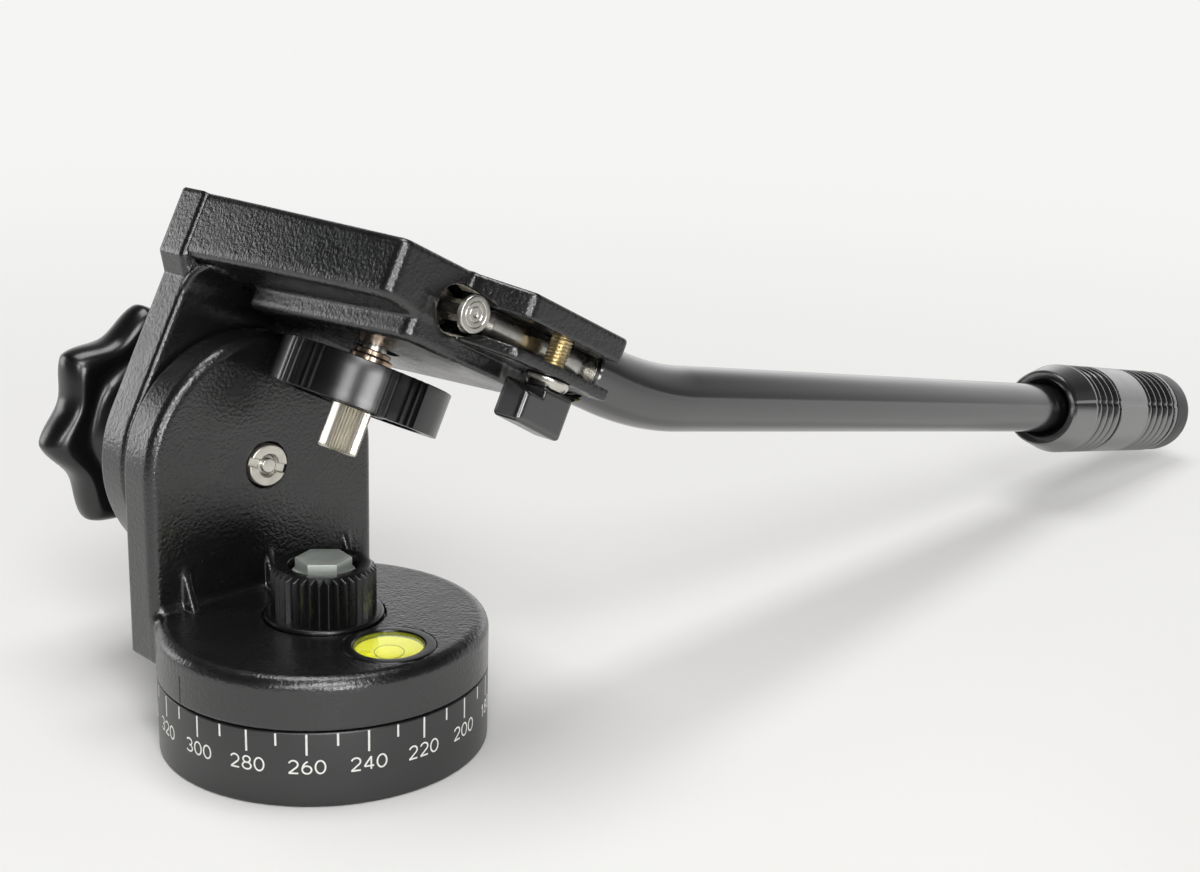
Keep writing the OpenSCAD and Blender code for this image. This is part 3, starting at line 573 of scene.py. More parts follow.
@dataclass(frozen=True)
class SweepPaper(Finish):
    """White studio paper that takes shadows near the part, and far behind it turns into a white sweep."""

    eye_gap: float = 0.36
    near: float = 2.0
    far: float = 0.6
    ahead: Triple = (0.703, 0.711, 0.0)
    # Directions about the look, and the sweep's level across them; the dim end, towards the eye, is painted
    # shade
    side: Pair = (-0.4, 0.5)
    white: Pair = (0.3, 1.0)

    def material(self) -> Material:
        """Mixes the lit paper into the sweep as it nears the horizon, for the eye, gloss and glass.

        Nearness to the horizon is 1 / (distance from the part + distance from the part to the eye).

        Returns:
            The material, ready for the floor.
        """
        material, tree, shader = self.surface()
        out = shader.outputs["BSDF"].links[0].to_socket
        place = add(tree, "ShaderNodeTexCoord").outputs["Object"]
        reach = add(tree, "ShaderNodeVectorMath", {0: place}, operation="LENGTH").outputs["Value"]
        reach = add(tree, "ShaderNodeMath", {0: reach, 1: self.eye_gap}, operation="ADD").outputs[0]
        low = add(tree, "ShaderNodeMath", {0: 1.0, 1: reach}, operation="DIVIDE").outputs[0]
        share = add(tree, "ShaderNodeMapRange", {"Value": low, "From Min": self.near, "From Max": self.far},
                    interpolation_type="SMOOTHSTEP").outputs["Result"]
        path = add(tree, "ShaderNodeLightPath").outputs
        seen = path["Is Camera Ray"]
        for ray in ("Is Glossy Ray", "Is Transmission Ray"):
            seen = add(tree, "ShaderNodeMath", {0: seen, 1: path[ray]}, operation="MAXIMUM").outputs[0]
        share = add(tree, "ShaderNodeMath", {0: share, 1: seen}, operation="MULTIPLY").outputs[0]
        # Painted shade: the sweep's white is dim where the floor lies towards the eye and full where it lies
        # ahead
        way = add(tree, "ShaderNodeVectorMath", {0: place}, operation="NORMALIZE").outputs["Vector"]
        front = add(tree, "ShaderNodeVectorMath", {0: way, 1: self.ahead}, operation="DOT_PRODUCT")
        (back, face), (dim, full) = self.side, self.white
        level = add(tree, "ShaderNodeMapRange", {
            "Value": front.outputs["Value"], "From Min": back, "From Max": face, "To Min": dim,
            "To Max": full}, interpolation_type="SMOOTHSTEP").outputs["Result"]
        white = add(tree, "ShaderNodeEmission", {"Color": linear(SWEEP_WHITE), "Strength": level})
        mix = add(tree, "ShaderNodeMixShader", {0: share, 1: shader.outputs[0], 2: white.outputs[0]})
        tree.links.new(mix.outputs[0], out)
        return material


# White of the paper sweep behind the part
SWEEP_WHITE = "#f5f5f4"
PAPER = SweepPaper("white_studio_paper", "#f1f0ee", "#efeeec", 0.9, 0.02, grain=0.4, relief=0.0, blotch=400.0)
# Semi-gloss black stoving paint on an aluminium casting: dark, with pebbled grey reflections
CAST_PAINT = CastingPaint("stoved_paint_on_casting", "#121213", "#171718", 0.26, 0.04, ior=1.75, grain=0.85,
                          relief=0.17, blotch=9.0)
# Satin black anodised aluminium: dense black with a soft sheen and hardly any grain
DIAL_ANODISED = Finish("black_anodised_aluminium", "#131314", "#171718", 0.36, 0.04, ior=1.72, grain=0.35,
                       relief=0.006, blotch=14.0)
# Smooth black paint on drawn tube: long clear reflections
TUBE_PAINT = Finish("black_paint_on_tube", "#101013", "#131316", 0.15, 0.03, ior=2.1, grain=1.6,
                    relief=0.008, blotch=30.0)
# Compression-moulded phenolic: deep gloss black with crisp highlights
PHENOLIC = Finish("moulded_phenolic", "#0b0b0c", "#0f0f10", 0.26, 0.03, ior=1.6, grain=1.4, relief=0.006)
# Moulded ABS with a satin tool finish: black with soft highlights along its ribs
SATIN_ABS = Finish("moulded_abs", "#0e0e0f", "#121213", 0.27, 0.04, ior=1.55, grain=0.5, relief=0.008)
# Hard glossy moulding of the grip: mirrors the pale floor and the dim room, with painted shade between its
# ribs
GRIP_RUBBER = RibbedRubber("moulded_grip_rubber", "#131314", "#181819", 0.2, 0.03, ior=3.0, grain=0.7,
                           relief=0.004, blotch=7.0)
# End cap of softer rubber: matt black
CAP_RUBBER = Finish("matt_cap_rubber", "#0c0c0d", "#101011", 0.36, 0.05, ior=1.36, grain=0.7, relief=0.006,
                    blotch=7.0)
# Satin nylon of the thumb piece: dark grey with a broad sheen
WING_NYLON = Finish("satin_nylon", "#1d1d1e", "#232324", 0.24, 0.03, ior=2.0, grain=0.8, relief=0.004,
                    blotch=7.0)
# Black anodised knob of the camera screw: dark metal with broad silky reflections
KNOB_ANODISED = Finish("silky_black_anodised", "#09090b", "#0c0c0f", 0.24, 0.03, ior=1.65, grain=0.4,
                       relief=0.004)
# Sheet rubber of the platform's pad: matt and finely grained
PAD_RUBBER = Finish("sheet_rubber", "#161616", "#1d1d1d", 0.72, 0.06, grain=0.5, relief=0.05, blotch=8.0)
# Zinc-plated turned steel: bright with fine rings
STEEL = MachinedMetal("plated_turned_steel", "#d8d6ce", "#bfbdb5", 0.26, 0.06, 1.0, grain=0.16, relief=0.006,
                      blotch=5.0)
# Hex head with a dull grey phosphate skin
GREY_STEEL = MachinedMetal("dull_grey_steel", "#c4cac5", "#a9aea6", 0.34, 0.06, 0.3, grain=0.3, relief=0.008,
                           blotch=3.0)
# Worn face of the ring nut: bare steel, lightly scratched, pale from every side
WORN_STEEL = MachinedMetal("worn_bare_steel", "#eae6dc", "#d6d2c6", 0.4, 0.08, 1.0, grain=0.3, relief=0.012,
                           blotch=2.0)
# Knurled post: many small bright flats, so it looks pale from every side
KNURLED_STEEL = MachinedMetal("knurled_plated_steel", "#c6c2b8", "#b4b0a6", 0.3, 0.04, 1.0, grain=0.2,
                              relief=0.001, blotch=4.0)
# Drawn bar steel of the spigot: bright and dark bands with fine rings
BAR_STEEL = MachinedMetal("drawn_bar_steel", "#c9c7c1", "#96948e", 0.22, 0.06, 1.0, grain=0.25, relief=0.01,
                          blotch=2.5)
# Pale bronze of the collar on the camera screw: warm and bright
COLLAR_BRONZE = MachinedMetal("pale_turned_bronze", "#d2bba6", "#b89f8a", 0.26, 0.05, 1.0, grain=0.2,
                              relief=0.006, blotch=3.0)
# Turned brass, slightly dulled: pale yellow
BRASS = MachinedMetal("turned_brass", "#e6d8b2", "#d2bf92", 0.3, 0.07, 1.0, grain=0.2, relief=0.006,
                      blotch=4.0)
# Sintered bronze: brown and fine-pored
BRONZE = Finish("sintered_bronze", "#a47a45", "#8d6839", 0.5, 0.05, 1.0, grain=0.3, relief=0.02, blotch=4.0)
# Drilled wall of the pin's hole: bare, dull and pale
BARE_DRILLED = Finish("bare_drilled_aluminium", "#e6dfd0", "#d5cdbd", 0.55, 0.05, 0.4, grain=0.3, relief=0.01)
# Turned aluminium of the hidden drag discs: pale with fine rings
ALUMINIUM = MachinedMetal("turned_aluminium", "#c9cbcd", "#b7b9bb", 0.32, 0.05, 1.0, grain=0.25, relief=0.006)
# Acetal of the thrust ring: ivory and waxy
ACETAL = Finish("acetal", "#e3ddcb", "#d9d2be", 0.5, 0.04, grain=0.4, relief=0.004)
# Friction sheet between plate and arm: dull and near black; the index line's painted shade uses it too
FIBRE = Finish("friction_sheet", "#201f1e", "#2b2927", 0.8, 0.05, grain=0.4, relief=0.03)
# White enamel rubbed into the dial's engraving
MARK_ENAMEL = Finish("white_enamel_fill", "#fafaf6", "#f2f2ec", 0.45, 0.05, grain=0.3, relief=0.004,
                     blotch=3.0)
# Yellow-green dyed liquid of the level, with a painted glow: a faint emission of its own colour
VIAL_LIQUID = Finish("level_liquid", "#f6f05a", "#ece41c", 0.3, 0.02, ior=1.4, grain=6.0, relief=0.002,
                     blotch=9.0, glow=0.14)
# The same liquid seen through the side of its cup, darkened to a deep olive: painted shade
SHADED_VIAL_WALL = Finish("level_cup_wall", "#6f7416", "#5c6010", 0.2, 0.02, ior=1.4, grain=3.0, relief=0.002)
# Air bubble in the liquid: its edge gathers the yellow; it has the same painted glow as the liquid
VIAL_AIR = Finish("level_air_bubble", "#f2ea10", "#ebe006", 0.1, 0.02, ior=1.4, grain=3.0, relief=0.002,
                  glow=0.14)
# Dark ink of the level's circle
RING_INK = Finish("level_ring_ink", "#7d7d18", "#6c6c10", 0.4, 0.03, grain=0.4, relief=0.002)
# Clear acrylic of the level's cover: hardly seen but for its highlights
ACRYLIC = ClearCover("clear_acrylic", "#f4f8dc", "#eff4d2", 0.06, 0.02, ior=1.49, grain=4.0, relief=0.001)


class Paintbox:
    """Makes each material once and puts it on pieces."""

    def __init__(self) -> None:
        """Starts with no materials made."""
        self.made: dict[str, Material] = {}

    def dress(self, obj: Piece, finish: Finish) -> None:
        """Puts a finish on a piece.

        Args:
            obj: The piece or a CAD node.
            finish: Finish to use.
        """
        if finish.name not in self.made:
            self.made[finish.name] = finish.material()
        obj.data.materials.clear()
        obj.data.materials.append(self.made[finish.name])

    def piece(self, obj: Piece, finish: Finish, body: Body, slot: str, *nodes: str) -> None:
        """Dresses a new piece, lets it ride on its body and stand for its CAD nodes.

        Args:
            obj: The new piece.
            finish: Finish to use.
            body: Body that it moves with.
            slot: The record's material slot; not used.
            nodes: CAD nodes that it replaces.
        """
        self.dress(obj, finish)
        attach(obj, body.value)
        if nodes:
            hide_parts(*nodes)
        log.info("%s: %d faces on %s", obj.name, len(obj.data.polygons), body.value)

    def node(self, name: str, finish: Finish) -> None:
        """Puts a finish on a CAD node that stays as it is."""
        self.dress(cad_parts[name], finish)


# Sub-assemblies


@dataclass
class DialBase:
    """The turned base with its engraved degree scale."""

    radius: float = 37.48
    height: float = 17.2
    foot_groove: Triple = (30.0, 33.0, 0.5)
    bush_r: float = 8.04
    bush_h: float = 10.6
    axle_r: float = 4.04
    seat: Triple = (27.96, 35.04, 16.4)
    zero_at: float = 129.0
    line_w: float = 0.46
    line_top: float = 16.9
    long_foot: float = 12.1
    short_foot: float = 14.1
    digit_low: float = 7.9
    digit_h: float = 3.05
    digit_w: float = 2.25
    digit_gap: float = 0.58
    stroke: float = 0.38
    proud: float = 0.015
    sunk: float = 0.12

    def build(self, box: Paintbox) -> None:
        """Builds the base, its lines and its numbers.

        Args:
            box: Dresses the pieces.
        """
        inner, outer, floor = self.seat
        near, far, deep = self.foot_groove
        profile = rounded([
            (self.bush_r, 0, 0.3), (near, 0, 0.3), (near, deep, 0.3), (far, deep, 0.3), (far, 0, 0.3),
            (self.radius, 0, 0.7), (self.radius, self.height, 0.45), (outer, self.height, 0.2),
            (outer, floor, 0), (inner, floor, 0), (inner, self.height, 0.2), (self.axle_r, self.height, 0.2),
            (self.axle_r, self.bush_h, 0), (self.bush_r, self.bush_h, 0)], closed=True)
        body = shell("dial_base_turned", turn_profile(profile, 240), loop=True)
        box.piece(body, DIAL_ANODISED, Body.BASE, "anodised_black", "dial_base")
        box.piece(self.marks(), MARK_ENAMEL, Body.BASE, "anodised_black")
        box.node("tripod_bush", STEEL)
        box.node("pan_thrust_washer", ACETAL)
        box.node("pan_drag_disc", ALUMINIUM)

    def marks(self) -> Piece:
        """Lays lines every ten degrees and numbers every twenty onto the base's side.

        Every stroke is a ribbon in a flat strip of arc length and height, wrapped on the cylinder:
        angle = arc / radius.

        Returns:
            One object of all ribbons.
        """
        ribbons: list[Array] = []
        for value in range(0, 360, 10):
            foot = self.long_foot if value % 20 == 0 else self.short_foot
            heights = np.linspace(foot, self.line_top, 6)
            line = self.ribbon(np.stack([0 * heights, heights], -1), self.line_w)
            ribbons.append(self.wrapped(line, value))
            if value % 20 == 0:
                ribbons += [self.wrapped(s, value) for s in self.number(str(value))]
        return strips("dial_marks", ribbons)

    def wrapped(self, strip: Array, value: float) -> Array:
        """Wraps a flat strip onto the side, centred on a scale value; the scale runs against the polar angle.

        Args:
            strip: (n, 2, 2) arc positions and heights of a ribbon's two edges.
            value: Degrees on the scale.

        Returns:
            (n, 4, 3) section corners, two on the surface and two inside it.
        """
        flat = np.concatenate([strip, strip[:, ::-1]], 1)
        r = self.radius + np.array([self.proud, self.proud, -self.sunk, -self.sunk])
        return polar(r, np.radians(self.zero_at - value) + flat[..., 0] / self.radius, flat[..., 1])

    @staticmethod
    def ribbon(path: Array, width: float) -> Array:
        """Gives a path its width: each point moves half of it to either side, square to the path.

        Args:
            path: (n, 2) points.
            width: Full width.

        Returns:
            (n, 2, 2) left and right edges.
        """
        along = np.gradient(path, axis=0)
        along /= np.maximum(np.linalg.norm(along, axis=1, keepdims=True), 1e-9)
        side = np.stack([along[:, 1], -along[:, 0]], -1) * width / 2
        return np.stack([path + side, path - side], 1)

    def number(self, text: str) -> list[Array]:
        """Draws a number as thin strokes, centred under its line.

        Args:
            text: The digits.

        Returns:
            One ribbon for each stroke.
        """
        pitch = self.digit_w + self.digit_gap
        left = -pitch * (len(text) - 1) / 2
        size = np.array([self.digit_w, self.digit_h])
        out: list[Array] = []
        for i, digit in enumerate(text):
            corner = np.array([left + i * pitch, self.digit_low])
            out += [self.ribbon(path * size + corner, self.stroke) for path in self.digit(digit)]
        return out

    @staticmethod
    def digit(digit: str) -> list[Array]:
        """Gives a digit's centre lines in a box from -0.5 to 0.5 wide and 0 to 1 high.

        Args:
            digit: One of the digits that the scale needs.

        Returns:
            Paths of arcs, sampled every few degrees, and straight lines.
        """
        def arc(cu: float, cv: float, ru: float, rv: float, a0: float, a1: float) -> Array:
            """Samples an ellipse's arc between two angles in degrees."""
            a = np.radians(np.linspace(a0, a1, max(8, int(abs(a1 - a0) / 9))))
            return np.stack([cu + ru * np.cos(a), cv + rv * np.sin(a)], -1)

        def line(*points: Pair) -> Array:
            """Samples straight stretches from point to point."""
            p, k = np.array(points, float), np.linspace(0, 1, 5)[:, None]
            return np.concatenate([p[i] + k * (p[i + 1] - p[i]) for i in range(len(p) - 1)])

        upper, lower = arc(-0.02, 0.73, 0.4, 0.25, 150, -88), arc(-0.02, 0.25, 0.45, 0.25, 88, -152)
        neck = np.concatenate([arc(0, 0.7, 0.42, 0.28, 165, -25), line((0.34, 0.52), (-0.43, 0.03))])
        shapes = {
            "0": [arc(0, 0.5, 0.46, 0.48, 90, 450)],
            "1": [line((0.1, 0.0), (0.1, 0.99)), line((0.1, 0.98), (-0.22, 0.74))],
            "2": [neck, line((-0.45, 0.03), (0.45, 0.03))],
            "3": [np.concatenate([upper, lower])],
            "4": [line((0.2, 0.0), (0.2, 0.97)), line((0.2, 0.97), (-0.46, 0.27)),
                  line((-0.46, 0.26), (0.47, 0.26))],
            "6": [arc(0, 0.3, 0.43, 0.29, 90, 450), arc(0.42, 0.3, 0.85, 0.68, 180, 113)],
            "8": [arc(0, 0.745, 0.36, 0.235, 90, 450), arc(0, 0.265, 0.44, 0.255, 90, 450)],
        }
        return shapes[digit]


@dataclass
class PanBody:
    """The casting that turns on the base: a disc, an arched upright plate and three gussets.

    A room or seat gives its radius and the height or depth where it ends.
    """

    radius: float = 37.48
    low: float = 17.45
    top: float = 29.2
    rim: float = 3.0
    inner_y: float = 22.2
    outer_y: float = 33.7
    half_w: float = 30.5
    edge: float = 2.6
    back_edge: float = 1.2
    flat_edge: float = 0.8
    foot_edge: float = 0.5
    fillet: float = 2.2
    gusset_x: float = 22.0
    gusset_t: float = 1.9
    gusset_reach: float = 4.0
    gusset_h: float = 8.8
    gusset_edge: float = 0.55
    gusset_fillet: float = 0.7
    gusset_bury: Pair = (3.0, 6.0)
    drag_room: Pair = (25.7, 21.6)
    bush_r: float = 7.04
    knob_seat: Pair = (14.0, 28.4)
    level_y: float = -24.3
    level_seat: Pair = (10.34, 24.3)
    axle_r: float = 5.04
    nut_seat: Pair = (5.5, 23.7)
    seat_edge: float = 0.3
    index_z: Pair = (0.5, 6.8)
    index_half: float = 0.2
    index_proud: float = 0.02
    index_sunk: float = 0.2
    span: tuple[Triple, Triple] = ((-39.2, -39.1, 16.1), (39.2, 35.6, 91.6))
    step: float = 0.5

    def distance(self, p: Array) -> Array:
        """Field of the casting: rounded disc and plate joined by a fillet, less its bores and pockets.

        Args:
            p: (..., 3) points in the part's frame.

        Returns:
            Distances, negative inside.
        """
        x, y, z = p[..., 0], p[..., 1], p[..., 2]
        r = np.hypot(x, y)
        disc = meet_round(r - self.radius, z - self.top, self.rim)
        disc = meet_round(disc, y - self.outer_y, self.flat_edge)
        arch = np.where(z > AXIS_Z, np.hypot(x, z - AXIS_Z), np.abs(x)) - self.half_w
        plate = meet_round(arch, self.inner_y - y, self.edge)
        plate = meet_round(plate, y - self.outer_y, self.back_edge)
        body = np.minimum(join_round(disc, plate, self.fillet), plate)
        reach, tall = self.gusset_reach, self.gusset_h
        back, under = self.gusset_bury
        slope = ((z - self.top) * reach - (y - self.inner_y + reach) * tall) / np.hypot(reach, tall)
        for at in (-self.gusset_x, 0.0, self.gusset_x):
            rib = meet_round(np.abs(x - at) - self.gusset_t / 2, slope, self.gusset_edge)
            rib = np.maximum(rib, np.maximum(y - self.outer_y + back, self.low + under - z))
            body = join_round(body, rib, self.gusset_fillet)
        body = meet_round(body, self.low - z, self.foot_edge)
        axle = np.hypot(x, z - AXIS_Z)
        level = np.hypot(x, y - self.level_y)
        cuts = (
            (np.maximum(r - self.drag_room[0], z - self.drag_room[1]), 0.0),
            (r - self.bush_r, 0.0),
            (np.maximum(r - self.knob_seat[0], self.knob_seat[1] - z), self.seat_edge),
            (np.maximum(level - self.level_seat[0], self.level_seat[1] - z), self.seat_edge),
            (axle - self.axle_r, 0.0),
            (np.maximum(axle - self.nut_seat[0], y - self.nut_seat[1]), self.seat_edge))
        for cut, soft in cuts:
            body = cut_round(body, cut, soft) if soft else np.maximum(body, -cut)
        return body

    def build(self, box: Paintbox) -> None:
        """Builds the casting and its index line, its groove drawn as a dull dark strip: painted shade.

        Args:
            box: Dresses the pieces.
        """
        points, quads = net(self.distance, self.span, self.step)
        box.piece(put_mesh("pan_casting", points, quads), CAST_PAINT, Body.PAN, "cast_paint", "pan_body")
        # The index groove is drawn as a dull dark strip on the surface: painted shade in place of the groove
        low, high = self.index_z
        half, proud, sunk = self.index_half, self.index_proud, self.index_sunk
        z = np.linspace(self.low + low, self.low + high, 8)[:, None]
        a = np.pi + np.array([-half, half, half, -half]) / self.radius
        r = self.radius + np.array([proud, proud, -sunk, -sunk])
        box.piece(strips("pan_index_line", [polar(r, a, z)]), FIBRE, Body.PAN, "cast_paint")
        box.node("pan_bush", BRONZE)


@dataclass
class BubbleLevel:
    """The bull's-eye level let into the disc: bezel, cup, liquid, circle, bubble and cover."""

    at_y: float = -24.3
    low: float = 24.3
    cup_r: float = 7.9
    cup_wall: float = 0.3
    cup_top: float = 29.1
    bezel_r: float = 10.3
    top: float = 29.35
    liquid: float = 27.6
    ring_r: float = 3.1
    ring_w: float = 0.2
    air_r: float = 1.9
    air_at: Pair = (-5.0, 1.9)
    cover: Pair = (28.6, 28.8)

    def placed(self, points: Array) -> Array:
        """Moves points from the level's own axis to its place."""
        return points + np.array([0, self.at_y, 0])

    def turned(self, name: str, profile: Array, loop: bool = False) -> Piece:
        """Turns a profile about the level's axis into a piece."""
        return shell(name, self.placed(turn_profile(profile, 112)), loop=loop)

    def build(self, box: Paintbox) -> None:
        """Builds the level's pieces from the bezel inwards.

        Args:
            box: Dresses the pieces.
        """
        inner = self.cup_r + PLAY
        bezel = rounded([(inner, self.low, 0), (self.bezel_r, self.low, 0.2), (self.bezel_r, self.top, 0.35),
                         (inner + 0.2, self.top, 0.2), (inner, self.top - 0.3, 0.1)], closed=True)
        ring = self.turned("bubble_bezel_ring", bezel, True)
        box.piece(ring, SATIN_ABS, Body.PAN, "black_plastic", "bubble_bezel")
        well = self.cup_r - self.cup_wall
        cup = rounded([(POLE, self.low, 0), (self.cup_r, self.low, 0.3), (self.cup_r, self.cup_top, 0.1),
                       (well, self.cup_top, 0.1), (well, self.liquid - 0.2, 0), (POLE, self.liquid - 0.2, 0)])
        # The cup's olive side is painted shade
        box.piece(self.turned("bubble_vial_cup", cup), SHADED_VIAL_WALL, Body.PAN, "vial_green", "bubble_vial")
        wide, bed = well - 0.02, self.liquid - 0.19
        pool = rounded([(POLE, bed, 0), (wide, bed, 0), (wide, self.liquid + 0.12, 0.1),
                        (well * 0.75, self.liquid, 2.0), (POLE, self.liquid, 0)])
        box.piece(self.turned("bubble_liquid", pool), VIAL_LIQUID, Body.PAN, "vial_green")
        low, high = self.liquid - 0.05, self.liquid + 0.03
        outer = self.ring_r + self.ring_w
        circle = rounded([(self.ring_r, low, 0), (outer, low, 0), (outer, high, 0), (self.ring_r, high, 0)],
                         closed=True)
        box.piece(self.turned("bubble_circle", circle, True), RING_INK, Body.PAN, "vial_green")
        dome = rounded([(POLE, low, 0), (self.air_r, low, 0), (self.air_r, self.liquid + 0.12, 0.12),
                        (self.air_r * 0.5, self.liquid + 0.35, 0.8), (POLE, self.liquid + 0.42, 0)])
        air = turn_profile(dome, 48) + np.array([*self.air_at, 0])
        box.piece(shell("bubble_air", self.placed(air)), VIAL_AIR, Body.PAN, "vial_green")
        under, over = self.cover
        cover = rounded([(POLE, under, 0), (wide, under, 0), (wide, over, 0.05), (POLE, over, 0)])
        box.piece(self.turned("bubble_cover", cover), ACRYLIC, Body.PAN, "clear_cover", "bubble_lens")


@dataclass
class PanLock:
    """The ribbed knob on the pan axis and the hex head above it."""

    low: float = 28.45
    top: float = 41.35
    flange_r: float = 13.6
    flange_top: float = 30.15
    body_r: float = 11.9
    ribs: int = 36
    rib_depth: float = 1.25
    rib_share: float = 0.92
    cone_h: float = 1.35
    cone_slope: float = 1.08
    recess_r: float = 8.0
    recess_z: float = 38.55
    bore_r: float = 6.04
    hex_apothem: float = 5.55
    hex_low: float = 39.8
    hex_top: float = 42.8
    hex_turn: float = 22.0
    washer_r: float = 7.2
    washer_low: float = 38.6
    axle_r: float = 4.0
    axle_low: float = 11.0

    def build(self, box: Paintbox) -> None:
        """Builds the knob and the axle's head.

        Args:
            box: Dresses the pieces.
        """
        box.piece(self.knob(), SATIN_ABS, Body.PAN_LOCK, "black_plastic", "pan_lock_knob")
        box.node("pan_lock_insert", BRASS)
        box.piece(self.bolt(), GREY_STEEL, Body.BASE, "steel", "pan_bolt")

    def knob(self) -> Piece:
        """Builds the knob: V grooves cut into a drum whose top edge is a cone.

        The drum's radius is the smaller of body radius - depth * V(angle) and the cone's radius at that
        height, so the grooves end in a zigzag on the cone.

        Returns:
            The knob.
        """
        lower = rounded([
            (self.bore_r, self.recess_z, 0), (self.bore_r, self.low, 0), (self.flange_r, self.low, 0.35),
            (self.flange_r, self.flange_top, 0.6), (self.body_r + 0.1, self.flange_top, 0)], steps=5)
        slant = np.linspace(self.top - self.cone_h - 0.1, self.top, 14)
        rise = np.concatenate([[self.flange_top + 0.02], slant])
        upper = rounded([(self.body_r - 1.5, self.top, 0), (self.recess_r, self.top, 0.3),
                         (self.recess_r, self.recess_z, 0)], steps=5)
        phase = np.array([0, 0.04, 0.2, 0.35, 0.46, 0.5, 0.54, 0.65, 0.8, 0.96])
        a = ((np.arange(self.ribs)[:, None] + phase).ravel()) * 2 * np.pi / self.ribs
        valley = self.rib_share - np.abs(2 * (np.tile(phase, self.ribs)) - 1)
        cone = self.body_r + 0.1 - np.maximum(rise - self.top + self.cone_h, 0)[:, None] * self.cone_slope
        r = np.minimum(self.body_r - self.rib_depth * np.maximum(valley, 0), cone)
        rows = [turn_profile(lower, a), polar(r, a, rise[:, None]), turn_profile(upper, a)]
        return shell("pan_lock_knob_ribbed", np.concatenate(rows), loop=True)

    def bolt(self) -> Piece:
        """Builds the axle with its flanged hex head.

        The head's radius is apothem / cos(angle from a flat's middle).

        Returns:
            The bolt.
        """
        a = evenly(180)
        from_flat = (a - np.radians(self.hex_turn)) % (np.pi / 3) - np.pi / 6
        six = self.hex_apothem / np.cos(from_flat)
        lower = rounded([
            (POLE, self.axle_low, 0), (self.axle_r, self.axle_low, 0.5), (self.axle_r, self.washer_low, 0),
            (self.washer_r, self.washer_low, 0.15), (self.washer_r, self.hex_low - 0.1, 0.3),
            (self.hex_apothem / 0.8 - 0.3, self.hex_low, 0)])
        rows = [turn_profile(lower, a)]
        for factor, z in ((1.0, self.hex_low + 0.01), (1.0, self.hex_top - 0.3), (0.985, self.hex_top - 0.06),
                          (0.96, self.hex_top), (0.5, self.hex_top)):
            rows.append(polar(factor * six, a, z)[None])
        return shell("pan_bolt_hex", np.concatenate(rows))


@dataclass
class TiltAxis:
    """The tilt shaft, the slotted ring nut on its end, and the washers under the lobed knob.

    The shaft's flange gives its radius, start and end along the axis, and its journal a radius and end.
    """

    nut_r: float = 5.0
    nut_y: Pair = (21.3, 23.7)
    bore_r: float = 2.54
    mouth_r: float = 2.75
    mouth_y: float = 22.3
    slot_w: float = 2.0
    slot_y: float = 22.35
    slot_turn: float = -19.0
    tip_r: float = 1.75
    tip_y: float = 21.25
    stud_r: float = 2.5
    shaft_r: float = 5.0
    flange: Triple = (8.0, 33.7, 36.2)
    journal: Pair = (6.0, 48.4)
    tail_y: float = 68.4
    span: tuple[Triple, Triple] = ((-5.5, 20.8, AXIS_Z - 5.5), (5.5, 24.3, AXIS_Z + 5.5))
    step: float = 0.16

    def nut(self, p: Array) -> Array:
        """Field of the ring nut: a round-edged ring with a wider mouth and one slot across its face.

        Args:
            p: (..., 3) points in the part's frame.

        Returns:
            Distances, negative inside.
        """
        x, y, z = p[..., 0], p[..., 1], p[..., 2] - AXIS_Z
        r = np.hypot(x, z)
        low, high = self.nut_y
        ring = meet_round(r - self.nut_r, np.abs(y - (low + high) / 2) - (high - low) / 2, 0.3)
        ring = np.maximum(ring, self.bore_r - r)
        ring = cut_round(ring, np.maximum(r - self.mouth_r, y - self.mouth_y), 0.12)
        a = np.radians(self.slot_turn)
        across = np.abs(z * np.cos(a) - x * np.sin(a)) - self.slot_w / 2
        return cut_round(ring, np.maximum(across, y - self.slot_y), 0.1)

    def build(self, box: Paintbox) -> None:
        """Builds nut and shaft, and dresses the hidden pieces.

        Args:
            box: Dresses the pieces.
        """
        nut = put_mesh("tilt_ring_nut_slotted", *net(self.nut, self.span, self.step))
        box.piece(nut, WORN_STEEL, Body.PAN, "steel", "tilt_ring_nut")
        seat = self.nut_y[1]
        flange_r, flange_y, flange_end = self.flange
        journal_r, journal_end = self.journal
        profile = rounded([
            (POLE, self.tip_y, 0), (self.tip_r, self.tip_y, 0.25), (self.tip_r, self.mouth_y, 0),
            (self.stud_r, self.mouth_y + 0.1, 0.1), (self.stud_r, seat, 0), (self.shaft_r, seat, 0.2),
            (self.shaft_r, flange_y, 0), (flange_r, flange_y, 0.2), (flange_r, flange_end, 0.2),
            (journal_r, flange_end, 0), (journal_r, journal_end, 0.2), (self.shaft_r, journal_end, 0),
            (self.shaft_r, self.tail_y, 0.5), (POLE, self.tail_y, 0)])
        shaft = shell("tilt_shaft_turned", from_tilt_axis(turn_profile(profile, 72)))
        box.piece(shaft, STEEL, Body.PAN, "steel", "tilt_shaft")
        box.node("tilt_spring_washer", STEEL)
        box.node("tilt_pressure_washer", STEEL)
        box.node("tilt_friction_washer", FIBRE)
        box.node("tilt_drag_disc", ALUMINIUM)
        box.node("tilt_bush", BRONZE)


